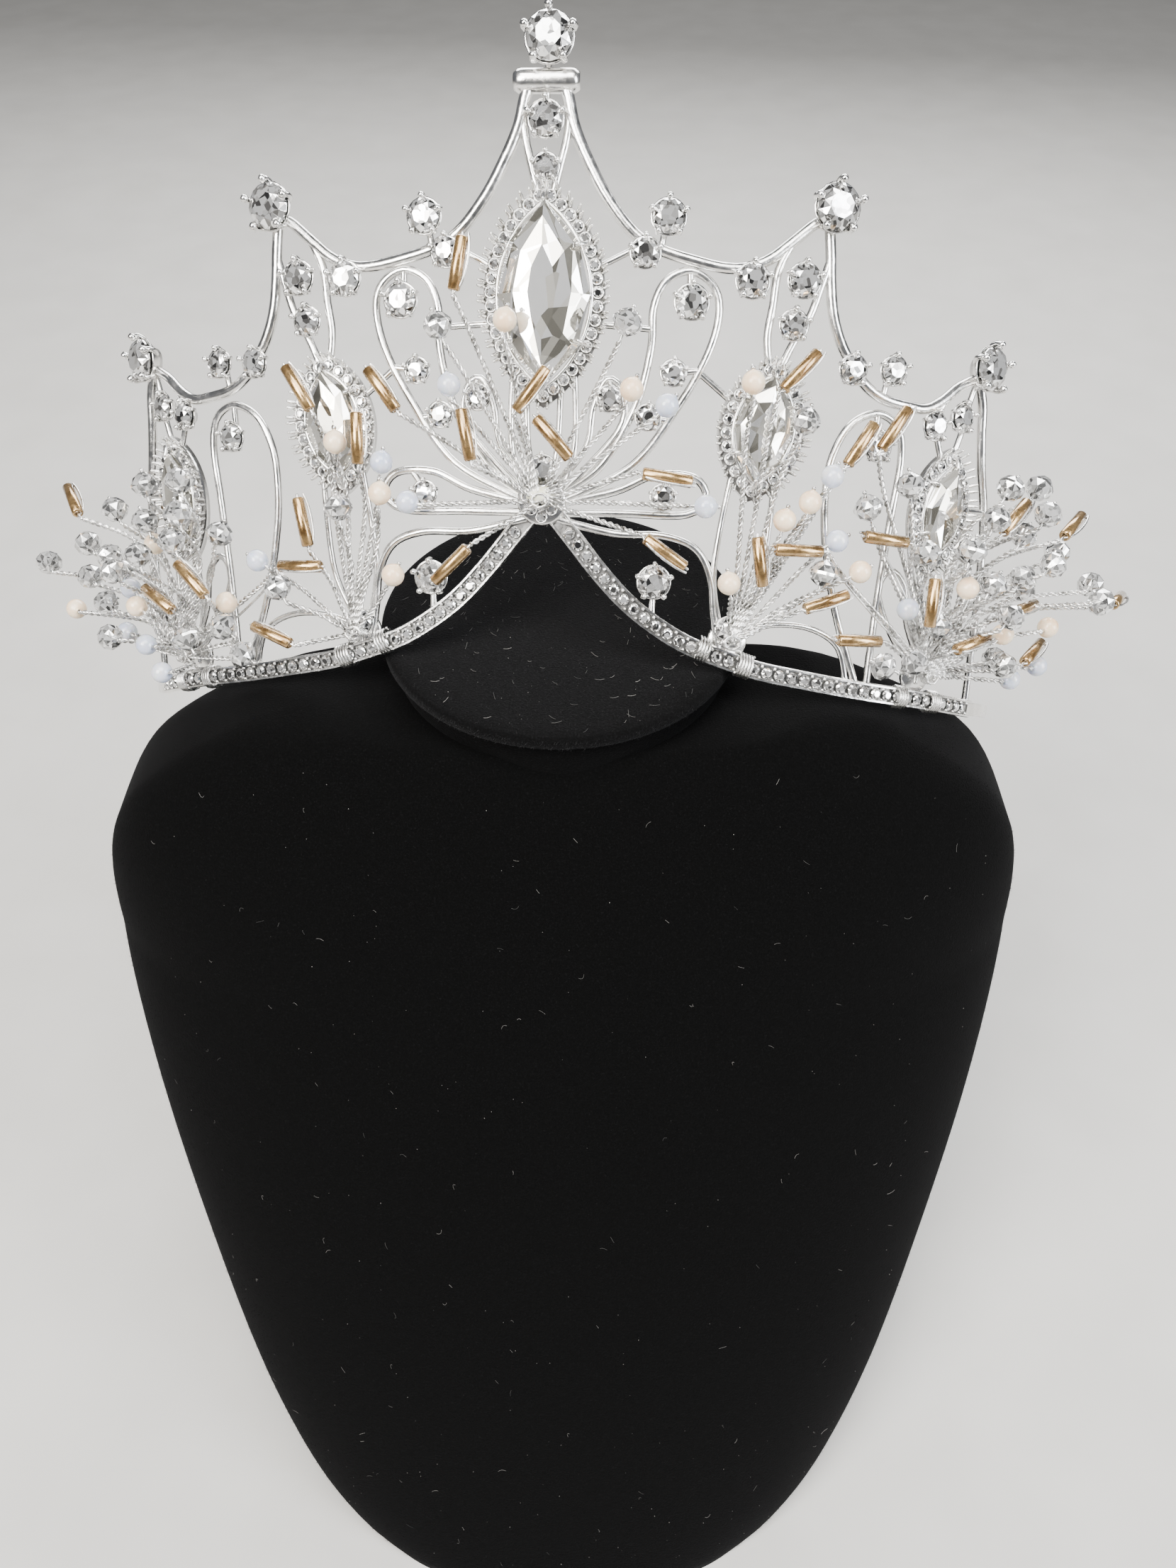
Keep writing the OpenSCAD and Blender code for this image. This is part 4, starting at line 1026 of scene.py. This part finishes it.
def chest_fibre(x, z):
    length, bend, a = draw(0.6, 1.8), draw(-0.8, 0.8), draw(0, pi)
    path = []
    for k in range(6):
        t = k / 5 - 0.5
        sag = bend * t * t * 2
        px = x + (length * t * cos(a) - sag * sin(a))
        pz = min(max(z + (length * t * sin(a) * 0.8 + sag), 1), 170)
        path.append((px, chest_at(px, pz) - 0.15, pz))
    return path


def pad_fibre(x, y):
    b, length = draw(0, pi), draw(0.6, 2)
    return [(x + length * t * cos(b), y + length * t * sin(b) + 0.8 * t * t, NECK_TOP_Z + 0.08)
            for t in (-0.5, -0.2, 0.1, 0.5)]


def lint():
    """Loose fibres and specks caught on the velvet."""
    shape = Shape()
    for _ in range(CHEST_LINT):
        z = draw(6, 168)
        x = draw(-0.93, 0.93) * chest_width(z)
        if rng.random() < 0.3:
            tube(shape, chest_fibre(x, z), FIBRE_R, 3)
        else:
            ball(shape, (x, chest_at(x, z) - 0.12, z), draw(0.05, 0.11), 4)
    for _ in range(PAD_LINT):
        a, r = draw(0, 2 * pi), NECK_CAP_R * sqrt(draw(0.05, 0.92))
        x, y, z = polar(r, a, NECK_TOP_Z)
        if rng.random() < 0.5:
            path = pad_fibre(x, y)
            if all(hypot(p[0], p[1]) < NECK_CAP_R - 1 for p in path):
                tube(shape, path, PAD_FIBRE_R, 3)
        else:
            ball(shape, (x, y, z + 0.06), draw(0.05, 0.11), 4)
    shape.piece("velvet_lint", [LINT], (), "velvet")


def hair(shape, base, out, length, slot):
    way = (Vector(out) + Vector((rng.gauss(0, 0.5), rng.gauss(0, 0.5), rng.gauss(0, 0.5)))).normalized()
    side = way.cross(Vector((rng.random(), rng.random(), rng.random() + 0.1))).normalized() * HAIR_HALF_W
    shape.add([base - side, base + side, base + way * length], [(0, 1, 2)], None, slot, False)


def pile():
    """The velvet's pile: one sliver of a hair each, longer on the pad, and paler there as painted light on
    its top.
    """
    shape = Shape()
    for _ in range(CHEST_HAIRS):
        z = draw(1, SHOULDER_Z - 2)
        a = draw(pi, 2 * pi) if rng.random() < 0.8 else draw(0, pi)
        w = chest_width(z)
        base = Vector(chest_point(w, z, a))
        up = Vector(chest_point(chest_width(z + 1), z + 1, a)) - base
        normal = (Vector(chest_point(w, z, a + 0.02)) - base).cross(up)
        if normal.length > 1e-6:
            hair(shape, base, normal.normalized(), draw(0.25, 0.6), 0)
    for _ in range(PAD_HAIRS):
        a, r = draw(0, 2 * pi), (NECK_CAP_R - 0.6) * sqrt(rng.random())
        hair(shape, Vector(polar(r, a, NECK_TOP_Z)), (0, 0, 1), draw(0.3, 0.8), 1)
    for _ in range(RIM_HAIRS):
        a = draw(0, 2 * pi)
        out = Vector(polar(1, a, 0))
        root = out * NECK_CAP_R + Vector((0, 0, NECK_TOP_Z - draw(0.5, NECK_CAP_T - 0.4)))
        hair(shape, root, out, draw(0.3, 0.7), 1)
    shape.piece("velvet_pile", [PILE, PAD_PILE_LIT], (), "velvet")


def glue_bead():
    """The cloudy drop of glue over the middle hub."""
    shape = Shape()
    sides, rows = 20, 9
    points = []
    for i in range(rows):
        a = pi * (i + 0.5) / rows
        for b in round_turns(sides):
            k = 1 + 0.12 * sin(2 * b + 1) + 0.08 * sin(5 * b + i)
            x, y = 2.3 * k * sin(a) * cos(b), 1.6 * k * sin(a) * sin(b)
            points.append((x, y, -1.1 * cos(a)))
    shape.add(points, rings_faces(rows, sides), at(0, 32.6, 8, 3.2))
    shape.piece("hub_glue", [GLUE], (), "opal")


def floor():
    mesh = bpy.data.meshes.new("floor")
    h = FLOOR_HALF
    mesh.from_pydata([(-h, -h, 0), (h, -h, 0), (h, h, 0), (-h, h, 0)], [], [(0, 1, 2, 3)])
    mesh.materials.append(floor_material("pale_floor"))
    placed("floor", mesh)


def studio():
    world = bpy.data.worlds.new("studio")
    bpy.context.scene.world = world
    world.use_nodes = True
    put(world.node_tree.nodes["Background"], {"Color": (0.9, 0.93, 1, 1), "Strength": 0.14})
    for name, place, target, wide, tall, power, colour in LAMPS:
        data = bpy.data.lights.new(name, "AREA")
        data.shape = "RECTANGLE"
        data.size, data.size_y, data.energy, data.color = wide, tall, power, colour
        lamp = placed(name, data)
        lamp.location = place
        lamp.rotation_euler = (Vector(target) - Vector(place)).to_track_quat("-Z", "Y").to_euler()


def camera():
    data = bpy.data.cameras.new("camera")
    data.sensor_width = 36
    data.lens = FOCAL / PHOTO_HEIGHT * data.sensor_width
    data.clip_start = 0.01
    cam = placed("camera", data)
    cam.location = CAMERA_PLACE
    cam.rotation_euler = (radians(90 - CAMERA_DOWN), 0, 0)
    bpy.context.scene.camera = cam


camera()
floor()
studio()
bust()
pad()
lint()
pile()
metal = stones_and_settings()
frame_wires(metal)
band(metal)
metal.piece("plated_frame", [SILVER, RECESS_SHADE], ["tiara_frame"], "silver")
navettes_and_halos().piece("halo_rails", [SILVER, RECESS_SHADE], (), "silver")
sprays()
glue_bead()
